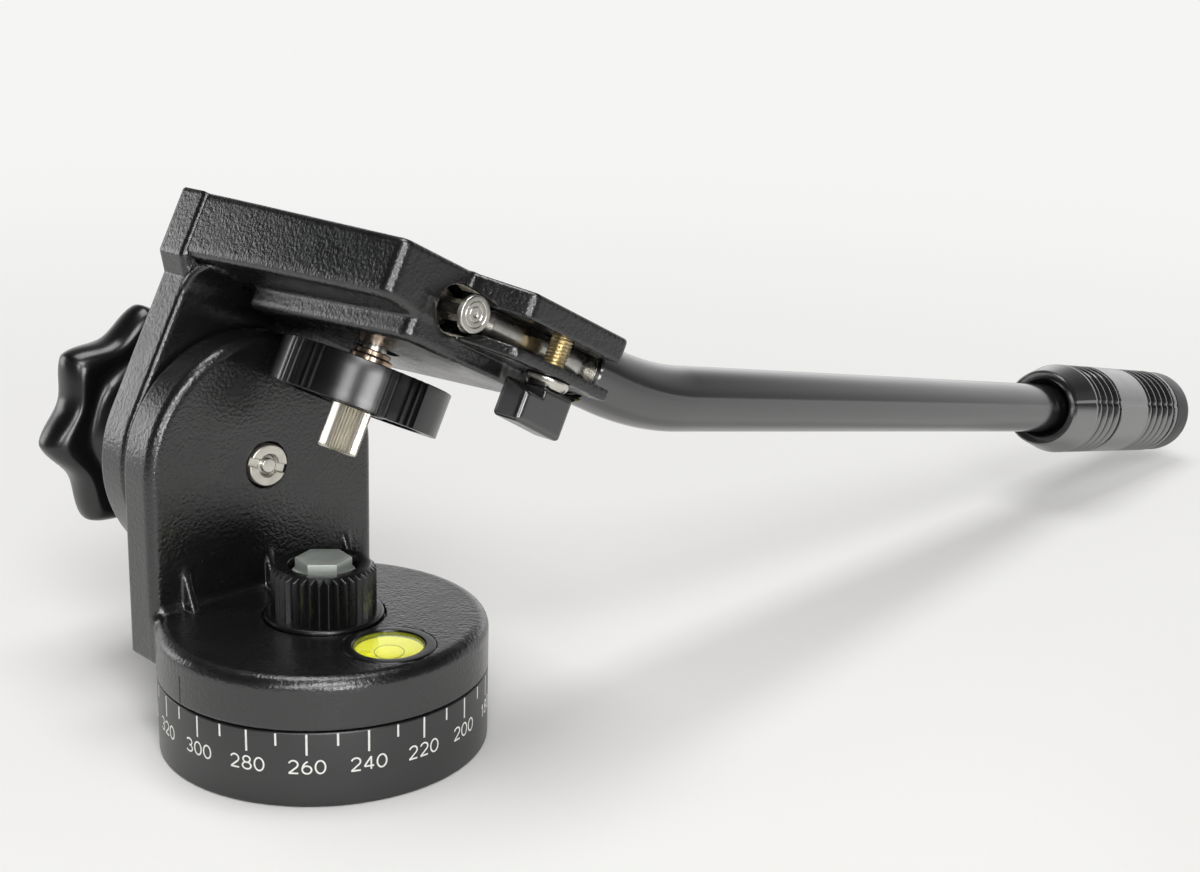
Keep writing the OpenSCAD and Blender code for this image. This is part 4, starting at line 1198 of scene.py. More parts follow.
@dataclass
class StarKnob:
    """The lobed knob that locks the tilt."""

    low: float = 48.45
    hub_r: float = 15.0
    lobe_y: float = 74.4
    half_t: float = 5.84
    tip_r: float = 29.8
    depth: float = 4.6
    lobes: int = 8
    lobe_power: float = 0.72
    rim_r: float = 19.5
    dish_r: Triple = (11.5, 10.6, 10.0)
    draw_from: float = 16.5
    draw_power: float = 1.2
    turn: float = 94.2
    bore_r: float = 8.04
    bore_end: float = 68.9

    def build(self, box: Paintbox) -> None:
        """Builds the knob: a turned profile whose outer rows are drawn in between the lobes.

        The draw is depth * ((1 - cos(lobes * angle)) / 2) ** lobe power times a weight that is 1 at the rim
        and 0 at the hub, so lobes are narrower than valleys.

        Args:
            box: Dresses the pieces.
        """
        back, front = self.lobe_y - self.half_t, self.lobe_y + self.half_t
        outer, ring, inner = self.dish_r
        profile = rounded([
            (POLE, self.bore_end, 0), (self.bore_r, self.bore_end, 0), (self.bore_r, self.low, 0.4),
            (self.hub_r - 2, self.low, 1.0), (self.hub_r - 0.6, self.low + 9, 6.0),
            (self.hub_r + 3.4, back + 0.2, 4.5), (self.tip_r, back, 5.6), (self.tip_r, front, 5.6),
            (self.rim_r, front, 3.0), (outer, front - 1.2, 0.8), (ring, front - 1.9, 0.4),
            (inner, front - 1.0, 0.5), (POLE, front - 0.4, 0)], steps=9)
        run = np.concatenate([[0], np.cumsum(np.linalg.norm(np.diff(profile, axis=0), axis=1))])
        even = np.linspace(0, 1, 150) * run[-1]
        profile = np.stack([np.interp(even, run, profile[:, k]) for k in (0, 1)], -1)
        a = evenly(320)
        wave = ((1 - np.cos(self.lobes * (a + np.radians(self.turn)))) / 2) ** self.lobe_power
        share = (profile[:, 0] - self.draw_from) / (self.tip_r - self.draw_from)
        draw = np.clip(share, 0, 1) ** self.draw_power * self.depth
        factor = 1 - (draw / np.maximum(profile[:, 0], 1))[:, None] * wave
        knob = shell("star_knob_lobed", from_tilt_axis(scaled_round(turn_profile(profile, a), factor)))
        box.piece(knob, PHENOLIC, Body.TILT_LOCK, "gloss_black_plastic", "star_knob")
        box.node("star_knob_insert", BRASS)


@dataclass
class TiltBracket:
    """The casting of arm, camera platform and split clamp, in the tilted frame.

    A seat gives its radius and the place along its axis where it ends.
    """

    arm_y: float = 34.8
    arm_outer_y: float = 45.5
    arm_r: float = 29.8
    head_step: float = 3.2
    step_t: float = 33.7
    step_h: float = 4.2
    top: float = 53.4
    front_x: float = 28.6
    back_x: float = 28.6
    side_y: float = 33.3
    plate_low: float = 40.0
    drop: float = 1.9
    rise: float = 2.4
    block_front: float = 20.0
    block_back: float = 26.0
    block_arm_y: float = 24.0
    block_low: float = 33.2
    block_top: float = 45.0
    root: float = 8.0
    root_half: float = 29.2
    root_shift: float = 0.6
    lug_y: float = 46.3
    lug_inner_y: float = 25.0
    lug_start: float = 9.0
    lug_corner: float = 1.8
    jaw_low: float = 38.7
    clamp_y: float = 33.0
    clamp_t: float = 44.6
    bore_r: float = 4.55
    slot_h: float = 6.4
    pin_x: float = 9.8
    pin_hole_r: float = 5.4
    pin_hole_end: float = 7.9
    lining_end: float = 3.4
    lining_t: Pair = (0.06, 0.08)
    lining_sunk: float = 0.5
    pinch: Pair = (13.6, -41.7)
    pinch_bore: Pair = (2.55, 52.5)
    wing_room: float = 9.86
    pad: Triple = (46.08, 58.08, 52.2)
    drag_seat: Pair = (24.2, 39.5)
    bush_r: float = 8.04
    stem_r: float = 2.95
    collar_seat: Pair = (5.4, 35.75)
    clip_seat: Pair = (6.1, 48.4)
    edge: float = 1.3
    corner: float = 2.4
    plate_edge: float = 1.9
    block_edge: float = 1.6
    block_fillet: float = 0.9
    lug_edge: Pair = (1.2, 1.0)
    lug_fillet: float = 0.8
    root_edge: float = 1.0
    root_bury: Pair = (0.5, 1.0)
    slot_edge: float = 0.45
    wing_edge: float = 0.5
    span: tuple[Triple, Triple] = ((-34.6, -48.1, -31.6), (31.6, 47.2, 55.1))
    step: float = 0.52

    def solid(self, p: Array) -> Array:
        """Field of the whole casting before cutting: arm, platform, block, root fillet and clamp.

        The platform's underside leans by the rise and falls by the drop from its head to the block.

        Args:
            p: (..., 3) points in the tilted frame.

        Returns:
            Distances, negative inside.
        """
        x, y, t = p[..., 0], p[..., 1], p[..., 2]
        head = -self.arm_r - self.head_step
        shoulder = self.step_t + self.step_h
        side = [(-self.arm_r, 0), (self.arm_r, 0), (self.arm_r, self.step_t), (self.back_x, shoulder),
                (self.back_x, self.top), (head, self.top), (head, shoulder), (-self.arm_r, self.step_t)]
        arm = np.minimum(np.hypot(x, t) - self.arm_r, outline_distance(x, t, side))
        mid = (self.arm_y + self.arm_outer_y) / 2
        arm = meet_round(arm, np.abs(y - mid) - (self.arm_outer_y - mid), self.edge)
        lean = np.radians(self.rise)
        height = y * np.sin(lean) + t * np.cos(lean)
        fall = self.drop / (-head - self.block_front + 1)
        under = np.maximum(self.plate_low - self.drop - height, self.plate_low - fall * (x - head) - height)
        plan = convex_distance(x, y, [
            (head, self.arm_outer_y), (head, self.arm_y), (-self.front_x, -self.side_y),
            (self.back_x, -self.side_y), (self.back_x, self.arm_outer_y)], self.corner)
        plate = meet_round(meet_round(plan, under, self.plate_edge), t - self.top, self.edge)
        block = convex_distance(x, y, [
            (-self.block_front, -self.side_y), (self.block_back, -self.side_y),
            (self.block_back, self.block_arm_y), (-self.block_front, self.block_arm_y)], self.corner)
        block = meet_round(block, self.block_low - height, self.block_edge)
        block = np.maximum(block, t - self.block_top)
        lug = convex_distance(x, y, [
            (-self.lug_start, -self.side_y), (-self.lug_corner, -self.lug_y), (self.back_x, -self.lug_y),
            (self.back_x, -self.lug_inner_y), (-self.lug_start, -self.lug_inner_y)], self.lug_edge[0])
        jaws = np.abs(t - (self.jaw_low + self.top) / 2) - (self.top - self.jaw_low) / 2
        lug = meet_round(lug, jaws, self.lug_edge[1])
        sink, bury = self.root_bury
        corner = self.plate_low - self.drop - self.arm_y * np.tan(lean) + sink
        u, v = y - self.arm_y + self.root, t - corner + self.root
        root = np.maximum(self.root - np.hypot(u, v), np.maximum(-u, -v))
        root = np.maximum(root, np.maximum(u - self.root - bury, v - self.root - bury))
        root = meet_round(root, np.abs(x + self.root_shift) - self.root_half, self.root_edge)
        body = join_round(np.minimum(plate, arm), block, self.block_fillet)
        return np.minimum(join_round(body, lug, self.lug_fillet), root)

    def distance(self, p: Array) -> Array:
        """Field of the casting less the clamp's openings and the seats of other pieces.

        Args:
            p: (..., 3) points in the tilted frame.

        Returns:
            Distances, negative inside.
        """
        body = self.solid(p)
        x, y, t = p[..., 0], p[..., 1], p[..., 2]
        along, up = y + self.clamp_y, t - self.clamp_t
        bore = np.maximum(np.hypot(along, up) - self.bore_r, -self.pin_x - x)
        slot = np.maximum(np.abs(up) - self.slot_h / 2, along)
        slot = np.maximum(slot, -self.pin_x - x)
        hole = np.maximum(np.hypot(x + self.pin_x, up) - self.pin_hole_r, along - self.pin_hole_end)
        body = cut_round(body, np.minimum(np.minimum(bore, slot), hole), self.slot_edge)
        screw = np.hypot(x - self.pinch[0], y - self.pinch[1])
        body = np.maximum(body, -np.maximum(screw - self.pinch_bore[0], t - self.pinch_bore[1]))
        body = cut_round(body, np.maximum(screw - self.wing_room, t - self.jaw_low), self.wing_edge)
        axle = np.hypot(x, t)
        stem = np.hypot(x, y)
        pad_l, pad_w, pad_low = self.pad
        pad = np.maximum(np.maximum(np.abs(x) - pad_l / 2, np.abs(y) - pad_w / 2), pad_low - t)
        drag_r, drag_end = self.drag_seat
        for seat in (np.maximum(axle - drag_r, np.maximum(y - drag_end, -y)),
                     np.maximum(axle - self.bush_r, -y), np.maximum(stem - self.stem_r, -t),
                     np.maximum(stem - self.collar_seat[0], t - self.collar_seat[1]),
                     np.maximum(stem - self.clip_seat[0], self.clip_seat[1] - t), pad):
            body = np.maximum(body, -seat)
        return body

    def build(self, box: Paintbox) -> None:
        """Builds the casting and dresses the pad on it.

        Args:
            box: Dresses the pieces.
        """
        points, quads = net(self.distance, self.span, self.step)
        casting = put_mesh("tilt_casting", from_tilted(points), quads)
        box.piece(casting, CAST_PAINT, Body.TILT, "cast_paint", "tilt_bracket")
        box.piece(self.bare_wall(), BARE_DRILLED, Body.TILT, "cast_paint")
        box.node("platform_pad", PAD_RUBBER)

    def bare_wall(self) -> Piece:
        """Lines the pin's hole above and below with its drilled, unpainted wall, inside the casting's face.

        At each angle the lining starts where the line along the hole lies a little inside the casting.

        Returns:
            The lining.
        """
        y = np.linspace(-self.lug_y - 1, self.lining_end - self.clamp_y, 260)
        inner, outer = self.lining_t
        radius = self.pin_hole_r + np.array([-inner, -inner, outer, outer])
        parts: list[Array] = []
        for first, last in ((62, 132), (228, 298)):
            a = np.radians(np.linspace(first, last, 40))[:, None]
            inside = self.solid(self.round_pin(self.pin_hole_r, a, y)) < -self.lining_sunk
            start = y[np.argmax(inside, axis=1)][:, None]
            depth = np.concatenate([start, 0 * start + y[-1], 0 * start + y[-1], start], 1)
            parts.append(from_tilted(self.round_pin(radius, a, depth)))
        return strips("pin_hole_bare_wall", parts)

    def round_pin(self, r: Array | float, a: Array, y: Array) -> Array:
        """Gives points of the tilted frame at radius r and angle a about the pin's axis, at y along it."""
        return polar(r, a, y)[..., [0, 2, 1]] + np.array([-self.pin_x, 0, self.clamp_t])


@dataclass
class CameraScrew:
    """The captive camera screw: grooved knob, knurled post, brass collar and steel shank."""

    knob_r: float = 19.8
    knob_low: float = 18.8
    knob_h: float = 10.4
    dish: tuple[float, ...] = (7.2, 7.6, 16.2, 16.8)
    dish_depth: float = 0.5
    groups: int = 5
    groove_at: tuple[float, ...] = (-13.7, -7.7, 0.0, 7.7, 13.7)
    groove_w: tuple[float, ...] = (4.9, 4.9, 8.2, 4.9, 4.9)
    groove_depth: float = 0.85
    group_turn: float = 43.0
    bore_r: float = 2.94
    post_r: float = 4.6
    post_h: float = 10.4
    knurls: int = 40
    knurl_depth: float = 0.5
    collar: tuple[float, ...] = (29.25, 5.0, 4.2, 2.95)
    collar_step: float = 1.9
    collar_h: float = 3.3

    def build(self, box: Paintbox) -> None:
        """Builds knob, post and collar, and dresses screw and clip.

        Args:
            box: Dresses the pieces.
        """
        box.piece(self.knob(), KNOB_ANODISED, Body.SCREW, "gloss_black_plastic", "camera_knob")
        box.piece(self.post(), KNURLED_STEEL, Body.SCREW, "steel", "camera_post")
        low, flange_r, neck_r, bore_r = self.collar
        step, top = low + self.collar_step, low + self.collar_h
        profile = rounded([(bore_r, low, 0), (flange_r, low, 0.25), (flange_r, step, 0.35),
                           (neck_r, step + 0.1, 0.2), (neck_r, top, 0.3), (bore_r, top, 0)], closed=True)
        collar = shell("screw_collar_brass", from_tilted(turn_profile(profile, 72)), loop=True)
        box.piece(collar, COLLAR_BRONZE, Body.CARRIER, "brass", "screw_collar")
        box.node("screw_clip", STEEL)
        box.node("camera_screw", STEEL)

    def knob(self) -> Piece:
        """Builds the knob: a round-edged disc, dished below, whose side is drawn in at each groove.

        A groove is a flat-bottomed flute: its depth rises over half a degree at either side of its width.

        Returns:
            The knob.
        """
        low, top, rim = self.knob_low, self.knob_low + self.knob_h, 2.5
        d0, d1, d2, d3 = self.dish
        floor = low + self.dish_depth
        profile = rounded([
            (self.bore_r, low, 0), (d0, low, 0.3), (d1, floor, 0.3), (d2, floor, 0.4), (d3, low, 0.4),
            (self.knob_r, low, 0.25), (self.knob_r, low + rim, 0), (self.knob_r, top - rim, 0),
            (self.knob_r, top, 0.25), (self.bore_r, top, 0)], closed=True, steps=4)
        around = evenly(1440)
        sector = 360 / self.groups
        a = (np.degrees(around) - self.group_turn + sector / 2) % sector - sector / 2
        at, width = np.array(self.groove_at)[:, None], np.array(self.groove_w)[:, None]
        flute = np.clip(2 * (width / 2 - np.abs(a - at)), 0, 1).max(0)
        outer = (profile[:, 0] > self.knob_r - 1.2)[:, None]
        factor = 1 - outer * flute * self.groove_depth / self.knob_r
        points = scaled_round(turn_profile(profile, around), factor)
        return shell("camera_knob_grooved", from_tilted(points), loop=True)

    def post(self) -> Piece:
        """Builds the post with straight knurling: triangular ridges along it, running out on its round end.

        Returns:
            The post.
        """
        low, top = self.knob_low - self.post_h, self.knob_low - 0.01
        profile = rounded([(0.3, low, 0), (self.post_r, low, 1.0), (self.post_r, top, 0)], steps=8)
        per_ridge = 6
        cols = self.knurls * per_ridge
        ridge = np.abs(2 * ((np.arange(cols) / per_ridge) % 1) - 1)
        fade = np.clip((profile[:, 0] - self.post_r + 1.0) / 0.9, 0, 1)[:, None]
        factor = 1 - fade * self.knurl_depth * (1 - ridge) / self.post_r
        points = scaled_round(turn_profile(profile, cols), factor)
        return shell("camera_post_knurled", from_tilted(points))


@dataclass
class HandleClamp:
    """Pinch screw, washer and wing under the split clamp."""

    at: Pair = (13.6, -41.7)
    screw_r: float = 2.5
    pitch: float = 0.8
    thread: float = 0.3
    flank: Pair = (1.25, 0.12)
    screw_low: float = 31.4
    screw_top: float = 52.1
    washer: tuple[float, ...] = (36.45, 38.65, 5.0, 2.54)
    wing_l: float = 14.4
    wing_w: float = 8.3
    wing_top: float = 36.4
    wing_h: float = 9.8
    wing_rise: float = 0.8
    wing_shift: float = 1.3
    wing_slope: float = 2.4
    slope_end: float = -3.4
    hole_depth: float = 5.05
    span: tuple[Triple, Triple] = ((-9.4, -5.0, 25.8), (7.0, 5.0, 37.1))
    step: float = 0.24

    def placed(self, points: Array) -> Array:
        """Moves points from the screw's own axis to its place in the part's frame."""
        return from_tilted(points + np.array([*self.at, 0]))

    def build(self, box: Paintbox) -> None:
        """Builds the threaded screw, the domed washer and the wing.

        The thread's depth follows height / pitch - turns, up and down like a saw with cut crests and roots.

        Args:
            box: Dresses the pieces.
        """
        z = np.linspace(self.screw_low, self.screw_top, 330)[:, None]
        a = evenly(40)
        saw = np.abs((z / self.pitch - a / (2 * np.pi)) % 1 - 0.5) * 2
        steep, crest = self.flank
        r = self.screw_r - self.thread * np.clip(steep * saw - crest, 0, 1)
        screw = shell("pinch_screw_threaded", self.placed(polar(r, a, z)))
        box.piece(screw, BRASS, Body.CLAMP, "brass", "pinch_screw")
        low, top, outer, bore = self.washer
        profile = rounded([(bore, low, 0), (outer - 1.0, low, 0.5), (outer - 0.2, low + 1.0, 0.8),
                           (outer, top - 0.5, 0.2), (outer, top, 0.2), (bore, top, 0)], closed=True)
        washer = shell("pinch_washer_domed", self.placed(turn_profile(profile, 72)), loop=True)
        box.piece(washer, STEEL, Body.CLAMP, "steel", "pinch_washer")
        points, quads = net(self.wing, self.span, self.step)
        wing = put_mesh("clamp_wing_moulded", self.placed(points), quads)
        box.piece(wing, WING_NYLON, Body.CLAMP, "gloss_black_plastic", "clamp_wing")

    def wing(self, p: Array) -> Array:
        """Field of the wing: a round-edged block with a slanted foot, its near top sloping to the front.

        Args:
            p: (..., 3) points about the screw's own axis.

        Returns:
            Distances, negative inside.
        """
        x, y, t = p[..., 0], p[..., 1], p[..., 2]
        near = -self.wing_shift - self.wing_l / 2
        far = near + self.wing_l
        foot = self.wing_top - self.wing_h
        side = convex_distance(x, t, [(near, self.wing_top), (near, foot + self.wing_rise), (far, foot),
                                      (far, self.wing_top)], 0.9)
        block = meet_round(side, np.abs(y) - self.wing_w / 2, 1.4)
        slope = self.wing_top - self.wing_slope * (0.5 - y / self.wing_w) - t
        block = cut_round(block, np.maximum(slope, x - self.slope_end), 0.5)
        hole = np.maximum(np.hypot(x, y) - self.screw_r - PLAY, self.wing_top - self.hole_depth - t)
        return np.maximum(block, -hole)


@dataclass
class Handle:
    """Spigot, cross pin, bent tube, ribbed grip and end cap.

    A band of the grip gives its start, the ribs' pitch, their number and their depth.
    """

    clamp_y: float = -33.0
    clamp_t: float = 44.6
    roll: float = 19.0
    tube_x: float = 29.0
    lead: float = 8.4
    bend_r: float = 100.0
    bend: float = 16.4
    run: float = 207.0
    tube_r: float = 8.0
    tube_chamfer: float = 0.35
    wall: float = 1.6
    grip_l: float = 88.0
    grip_r: float = 15.1
    front_r: float = 12.5
    shoulder: Pair = (11.6, 12.4)
    funnel: float = 3.6
    bands: tuple[tuple[float, float, int, float], ...] = ((12.8, 5.2, 4, 1.9), (58.0, 5.4, 5, 1.8))
    rib_power: float = 0.8
    seam: float = 0.28
    seam_half: float = 4.2
    cap_l: float = 16.0
    cap_r: float = 14.8
    cap_plug: float = 8.0
    spigot_r: float = 4.5
    tenon_r: float = 2.0
    tenon_end: float = 1.9
    pin_r: float = 4.0
    pin_neck: float = 2.4
    pin_head: float = 1.4
    pin_half: float = 6.5
    pin_x: float = -9.8

    def rolled(self, points: Array) -> Array:
        """Turns points of the handle's own frame, x along the spigot and z to the bend, into the part's.

        Args:
            points: (..., 3) points.

        Returns:
            Points in the part's frame.
        """
        a = np.radians(-self.roll)
        y = points[..., 1] * np.cos(a) - points[..., 2] * np.sin(a)
        z = points[..., 1] * np.sin(a) + points[..., 2] * np.cos(a)
        return from_tilted(np.stack([points[..., 0], y + self.clamp_y, z + self.clamp_t], -1))

    def on_run(self, points: Array, start: float) -> Array:
        """Lays a piece turned about z onto the handle's straight run.

        Args:
            points: (..., 3) points, z along the handle.
            start: Distance from the end of the bend to z = 0.

        Returns:
            Points in the part's frame.
        """
        b = np.radians(self.bend)
        x0 = self.tube_x + self.lead + self.bend_r * np.sin(b)
        z0 = self.bend_r * (1 - np.cos(b))
        along, up = points[..., 2] + start, -points[..., 0]
        return self.rolled(np.stack([x0 + along * np.cos(b) - up * np.sin(b), points[..., 1],
                                     z0 + along * np.sin(b) + up * np.cos(b)], -1))

    def build(self, box: Paintbox) -> None:
        """Builds the handle's pieces from the clamp to the end cap.

        Args:
            box: Dresses the pieces.
        """
        box.piece(self.tube(), TUBE_PAINT, Body.HANDLE, "tube_paint", "handle_tube")
        box.piece(self.spigot(), BAR_STEEL, Body.HANDLE, "steel", "handle_spigot")
        box.piece(self.pin(), STEEL, Body.HANDLE, "steel", "handle_cross_pin")
        box.piece(self.grip(), GRIP_RUBBER, Body.HANDLE, "grip_rubber", "handle_grip")
        plug = self.tube_r - self.wall - PLAY
        profile = rounded([
            (POLE, -self.cap_plug, 0), (plug, -self.cap_plug, 0.4), (plug, 0, 0), (self.cap_r, 0.05, 0.5),
            (self.cap_r, self.cap_l, 6.2), (2.2, self.cap_l, 0.2), (1.8, self.cap_l - 0.4, 0.1),
            (POLE, self.cap_l - 0.4, 0)], steps=12)
        cap = shell("grip_end_cap_round", self.on_run(turn_profile(profile, 128), self.run + self.grip_l))
        box.piece(cap, CAP_RUBBER, Body.HANDLE, "grip_rubber", "grip_end_cap")

    def tube(self) -> Piece:
        """Sweeps the tube's wall along lead, arc and run; its section turns with the path.

        Returns:
            The tube.
        """
        b = np.radians(self.bend)
        arc = np.linspace(0, b, 40)
        mouth = [self.tube_x, self.tube_x + 0.4]
        x = np.concatenate([mouth, self.tube_x + self.lead + self.bend_r * np.sin(arc)])
        z = np.concatenate([[0.0, 0.0], self.bend_r * (1 - np.cos(arc))])
        along = np.linspace(0, 1, 24)[1:] * (self.run + self.grip_l)
        x = np.concatenate([x, x[-1] + along * np.cos(b)])[:, None]
        z = np.concatenate([z, z[-1] + along * np.sin(b)])[:, None]
        turn = np.concatenate([[0.0, 0.0], arc, np.full(len(along), b)])[:, None]
        radius = np.full(x.shape, self.tube_r)
        radius[0] -= self.tube_chamfer
        a = evenly(96)

        def skin(r: Array) -> Array:
            """Gives the rings of the path at these radii."""
            up = r * np.sin(a)
            return np.stack([x - up * np.sin(turn), r * np.cos(a), z + up * np.cos(turn)], -1)

        wall = np.concatenate([skin(radius), skin(np.full(x.shape, self.tube_r - self.wall))[::-1]])
        return shell("handle_tube_bent", self.rolled(wall), loop=True)

    def spigot(self) -> Piece:
        """Turns the spigot: tenon, body with a waist beside the pin, and the plug inside the tube.

        Returns:
            The spigot.
        """
        start = self.pin_x - self.tenon_end
        face = self.pin_x + self.pin_r + PLAY
        waist = self.spigot_r - 0.7
        plug = self.tube_r - self.wall - PLAY
        end = self.tube_x + self.lead
        profile = rounded([
            (POLE, start, 0), (self.tenon_r, start, 0.2), (self.tenon_r, face, 0), (waist, face, 0.3),
            (waist, face + 2.0, 0.4), (self.spigot_r, face + 3.4, 0.6), (self.spigot_r, self.tube_x, 0),
            (plug, self.tube_x + 0.02, 0.3), (plug, end, 0.4), (POLE, end, 0)])
        grid = turn_profile(profile, 96)
        lying = [grid[..., 2], grid[..., 1] + self.clamp_y, -grid[..., 0] + self.clamp_t]
        return shell("handle_spigot_turned", from_tilted(np.stack(lying, -1)))

    def pin(self) -> Piece:
        """Turns the cross pin with a head at each end and turning rings on its face.

        Returns:
            The pin.
        """
        h, r, neck, head = self.pin_half, self.pin_r, self.pin_neck, self.pin_head
        profile = rounded([
            (POLE, -h + 0.4, 0), (0.5, -h + 0.35, 0.2), (0.75, -h + 0.12, 0.1), (1.5, -h + 0.1, 0.1),
            (1.65, -h + 0.25, 0.05), (1.8, -h + 0.06, 0.05), (2.6, -h + 0.04, 0.1), (2.75, -h + 0.16, 0.05),
            (2.9, -h, 0.05), (r, -h, 0.35), (r, -h + head, 0.25), (neck, -h + head + 0.3, 0.2),
            (neck, h - head - 0.3, 0.2), (r, h - head, 0.25), (r, h, 0.35), (POLE, h, 0)])
        across = turn_profile(profile, 72)[..., [0, 2, 1]]
        middle = np.array([self.pin_x, self.clamp_y, self.clamp_t])
        return shell("handle_cross_pin_turned", from_tilted(across + middle))

    def grip(self) -> Piece:
        """Turns the grip: lip and funnel, taper, two bands of round ribs and a smooth waist between them.

        A rib is a power of the sine of the distance along a band, so crests are round and valleys narrow. The
        moulding's halves meet in a shallow V groove on either side: seam depth times 1 - distance / half the
        groove's width. How deep each point lies between ribs goes into the mesh's own attribute.

        Returns:
            The grip.
        """
        z = np.linspace(0, self.grip_l, 420)
        front_r, grip_r, bore = self.front_r, self.grip_r, self.tube_r + PLAY
        r = np.interp(z, [0, 0.8, *self.shoulder, self.grip_l - 1, self.grip_l],
                      [front_r - 0.4, front_r + 0.2, grip_r, grip_r, grip_r - 0.1, grip_r - 0.6])
        groove = 0 * z
        for start, pitch, count, depth in self.bands:
            k = (z - start) / pitch
            rib = np.abs(np.sin(np.pi * k)) ** self.rib_power
            valley = np.where((k >= 0) & (k <= count), 1 - rib, 0)
            groove += valley
            r = r - depth * valley
        front = rounded([(bore, self.grip_l, 0), (bore, self.funnel, 0.4), (front_r - 2.6, 0.7, 0.6),
                         (front_r - 0.9, 0.0, 0.3)], steps=6)
        profile = np.concatenate([front, np.stack([r, z], -1)])
        near = np.radians([-6, -4.5, -4.2, -3.9, -2.1, -0.3, 0, 0.3, 2.1, 3.9, 4.2, 4.5, 6])
        a = np.radians(np.arange(0, 360, 3))
        a = a[np.abs(np.cos(a)) > 0.12]
        a = np.sort(np.concatenate([a, np.pi / 2 + near, 1.5 * np.pi + near]))
        off = np.degrees(np.minimum(np.abs(a - np.pi / 2), np.abs(a - 1.5 * np.pi)))
        drop = self.seam * np.clip(1 - off / self.seam_half, 0, 1)
        outer = (np.arange(len(profile)) >= len(front))[:, None]
        points = scaled_round(turn_profile(profile, a), 1 - outer * drop / grip_r)
        piece = shell("handle_grip_ribbed", self.on_run(points, self.run), loop=True)
        # How deep each point lies between ribs, which the grip's finish turns into painted shade
        sunk = np.repeat(np.concatenate([np.zeros(len(front)), groove]), len(a)).astype(np.float32)
        piece.data.attributes.new(GRIP_RUBBER.depth_name, "FLOAT", "POINT").data.foreach_set("value", sunk)
        return piece


# Studio


@dataclass(frozen=True)
class Lamp:
    """A soft lamp that faces a point; a card shows in gloss and adds no light to matt surfaces."""

    name: str
    at: Triple
    target: Triple
    size: Pair
    watts: float
    card: bool = False

    def hang(self) -> None:
        """Puts the lamp into the scene."""
        data = bpy.data.lights.new(self.name, "AREA")
        data.shape = "RECTANGLE"
        data.size, data.size_y = self.size
        data.energy = self.watts
        lamp = bpy.data.objects.new(self.name, data)
        turn = (Vector(self.target) - Vector(self.at)).to_track_quat("-Z", "Y")
        lamp.matrix_world = Matrix.Translation(self.at) @ turn.to_matrix().to_4x4()
        lamp.visible_diffuse = not self.card
        bpy.context.scene.collection.objects.link(lamp)


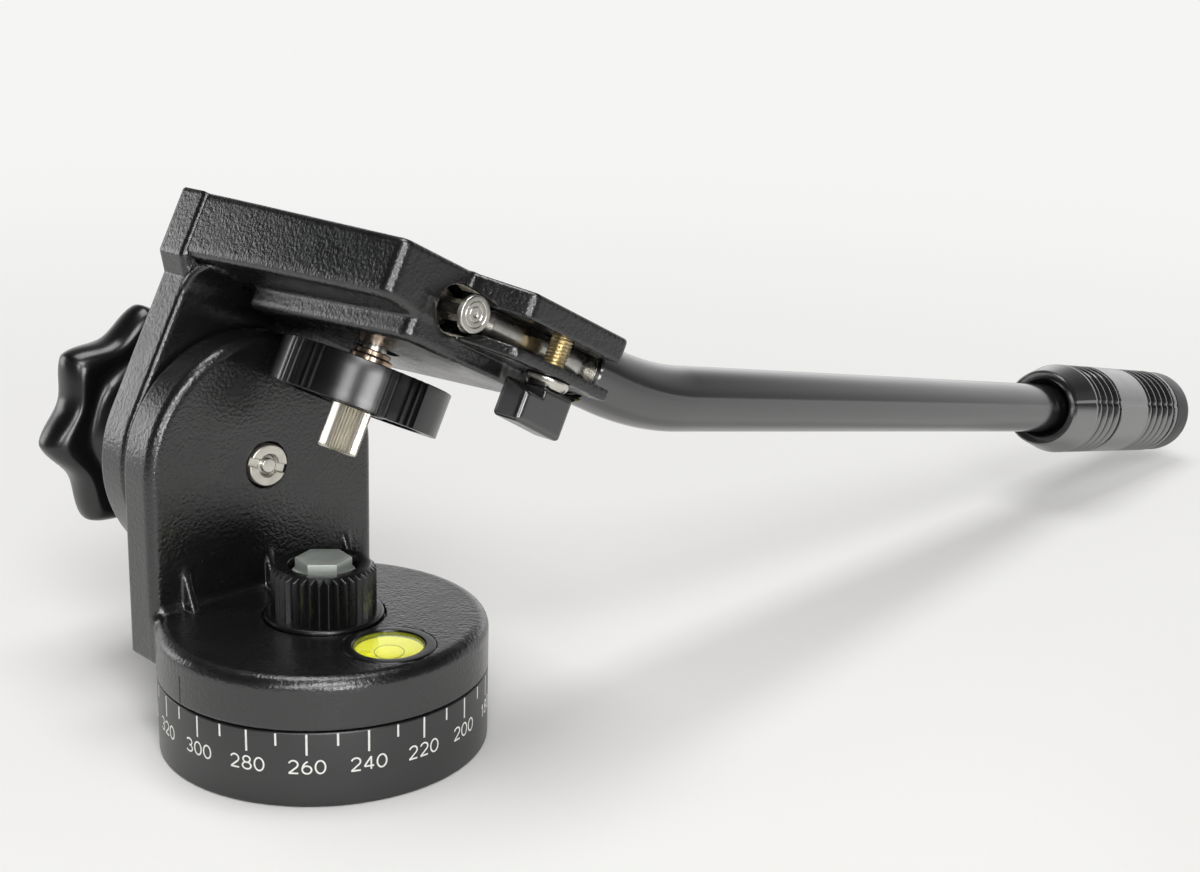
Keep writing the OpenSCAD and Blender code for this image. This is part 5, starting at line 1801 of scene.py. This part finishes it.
@dataclass
class Studio:
    """Pale floor, soft light and the camera at the photograph's angle, in metres."""

    eye: Triple = (-0.20463, -0.29443, 0.17037)
    look: Triple = (0.6781, 0.6854, -0.2653)
    up: Triple = (0.1637, 0.2110, 0.9637)
    lens: float = 49.69
    sensor: float = 36.0
    floor_half: float = 14000.0
    room_light: float = 0.26
    sweep_ahead: Pair = (0.15, 0.8)
    sweep_level: Pair = (0.1, 0.95)
    sweep_rise: Pair = (0.22, 0.52)
    rise_level: Pair = (1.4, 0.3)
    lamps: tuple[Lamp, ...] = (
        Lamp("softbox_key", (-0.52, -0.86, 0.97), (0.08, 0.0, 0.04), (0.6, 0.6), 9.2),
        Lamp("softbox_top", (0.1, 0.15, 2.2), (0.1, 0.1, 0.0), (1.2, 1.2), 25.0),
        Lamp("card_front", (-0.5, -1.17, 0.27), (0.0, 0.0, 0.08), (0.44, 0.4), 5.9, card=True),
        Lamp("card_left", (-0.557, 1.093, 0.25), (0.0, 0.0, 0.08), (0.45, 0.5), 2.0, card=True),
        Lamp("card_corner", (-0.88, -0.66, 0.46), (0.0, 0.0, 0.06), (0.28, 0.28), 2.6, card=True))

    def build(self) -> None:
        """Sets up the floor, the world, the lamps and the camera."""
        self.floor()
        self.world()
        for lamp in self.lamps:
            lamp.hang()
        self.camera()
        bpy.context.scene.view_settings.view_transform = "Standard"

    def floor(self) -> None:
        """Lays a wide matt pale floor, its half width in millimetres."""
        s = self.floor_half
        points = np.array([[-s, -s, 0], [s, -s, 0], [s, s, 0], [-s, s, 0]], float)
        floor = put_mesh("floor", points, np.array([[0, 1, 2, 3]]), closed=False)
        floor.data.materials.append(PAPER.material())

    def world(self) -> None:
        """Gives even room light, and shows gloss a white sweep in a dim room, and the eye white."""
        world = bpy.data.worlds.new("studio_room")
        world.use_nodes = True
        tree = world.node_tree
        tree.nodes.clear()
        way = add(tree, "ShaderNodeTexCoord").outputs["Generated"]
        ahead = add(tree, "ShaderNodeVectorMath", {0: way, 1: self.look}, operation="DOT_PRODUCT")
        rise = add(tree, "ShaderNodeSeparateXYZ", {"Vector": way})
        levels: list[Socket] = []
        for value, (start, end), (first, last) in (
                (ahead.outputs["Value"], self.sweep_ahead, self.sweep_level),
                (rise.outputs["Z"], self.sweep_rise, self.rise_level)):
            levels.append(add(tree, "ShaderNodeMapRange", {
                "Value": value, "From Min": start, "From Max": end, "To Min": first, "To Max": last},
                interpolation_type="SMOOTHSTEP").outputs["Result"])
        level = add(tree, "ShaderNodeMath", dict(enumerate(levels)), operation="MULTIPLY").outputs[0]
        path = add(tree, "ShaderNodeLightPath").outputs
        level = add(tree, "ShaderNodeMix", {0: path["Is Glossy Ray"], 2: self.room_light, 3: level})
        room = add(tree, "ShaderNodeBackground", {"Color": (1, 1, 1, 1), "Strength": level.outputs[0]})
        white = add(tree, "ShaderNodeBackground", {"Color": linear(SWEEP_WHITE), "Strength": 1.0})
        seen = add(tree, "ShaderNodeMath", {0: path["Is Camera Ray"], 1: path["Is Transmission Ray"]},
                   operation="MAXIMUM").outputs[0]
        mix = add(tree, "ShaderNodeMixShader", {0: seen, 1: room.outputs[0], 2: white.outputs[0]})
        add(tree, "ShaderNodeOutputWorld", {"Surface": mix.outputs[0]})
        bpy.context.scene.world = world

    def camera(self) -> None:
        """Places the camera where the photograph was taken from."""
        data = bpy.data.cameras.new("camera")
        data.lens = self.lens
        data.sensor_width = self.sensor
        data.sensor_fit = "HORIZONTAL"
        data.clip_start = 0.01
        data.clip_end = 60.0
        camera = bpy.data.objects.new("camera", data)
        forward = Vector(self.look).normalized()
        right = forward.cross(Vector(self.up)).normalized()
        up = right.cross(forward)
        turn = Matrix((right, up, -forward)).transposed()
        camera.matrix_world = Matrix.Translation(self.eye) @ turn.to_4x4()
        bpy.context.scene.collection.objects.link(camera)
        bpy.context.scene.camera = camera


def main() -> None:
    """Builds the sub-assemblies in order, then the studio."""
    logging.basicConfig(level=logging.INFO, format="%(message)s")
    box = Paintbox()
    for assembly in (DialBase(), PanBody(), BubbleLevel(), PanLock(), TiltAxis(), StarKnob(), TiltBracket(),
                     CameraScrew(), HandleClamp(), Handle()):
        assembly.build(box)
    Studio().build()


if __name__ == "__main__":
    main()
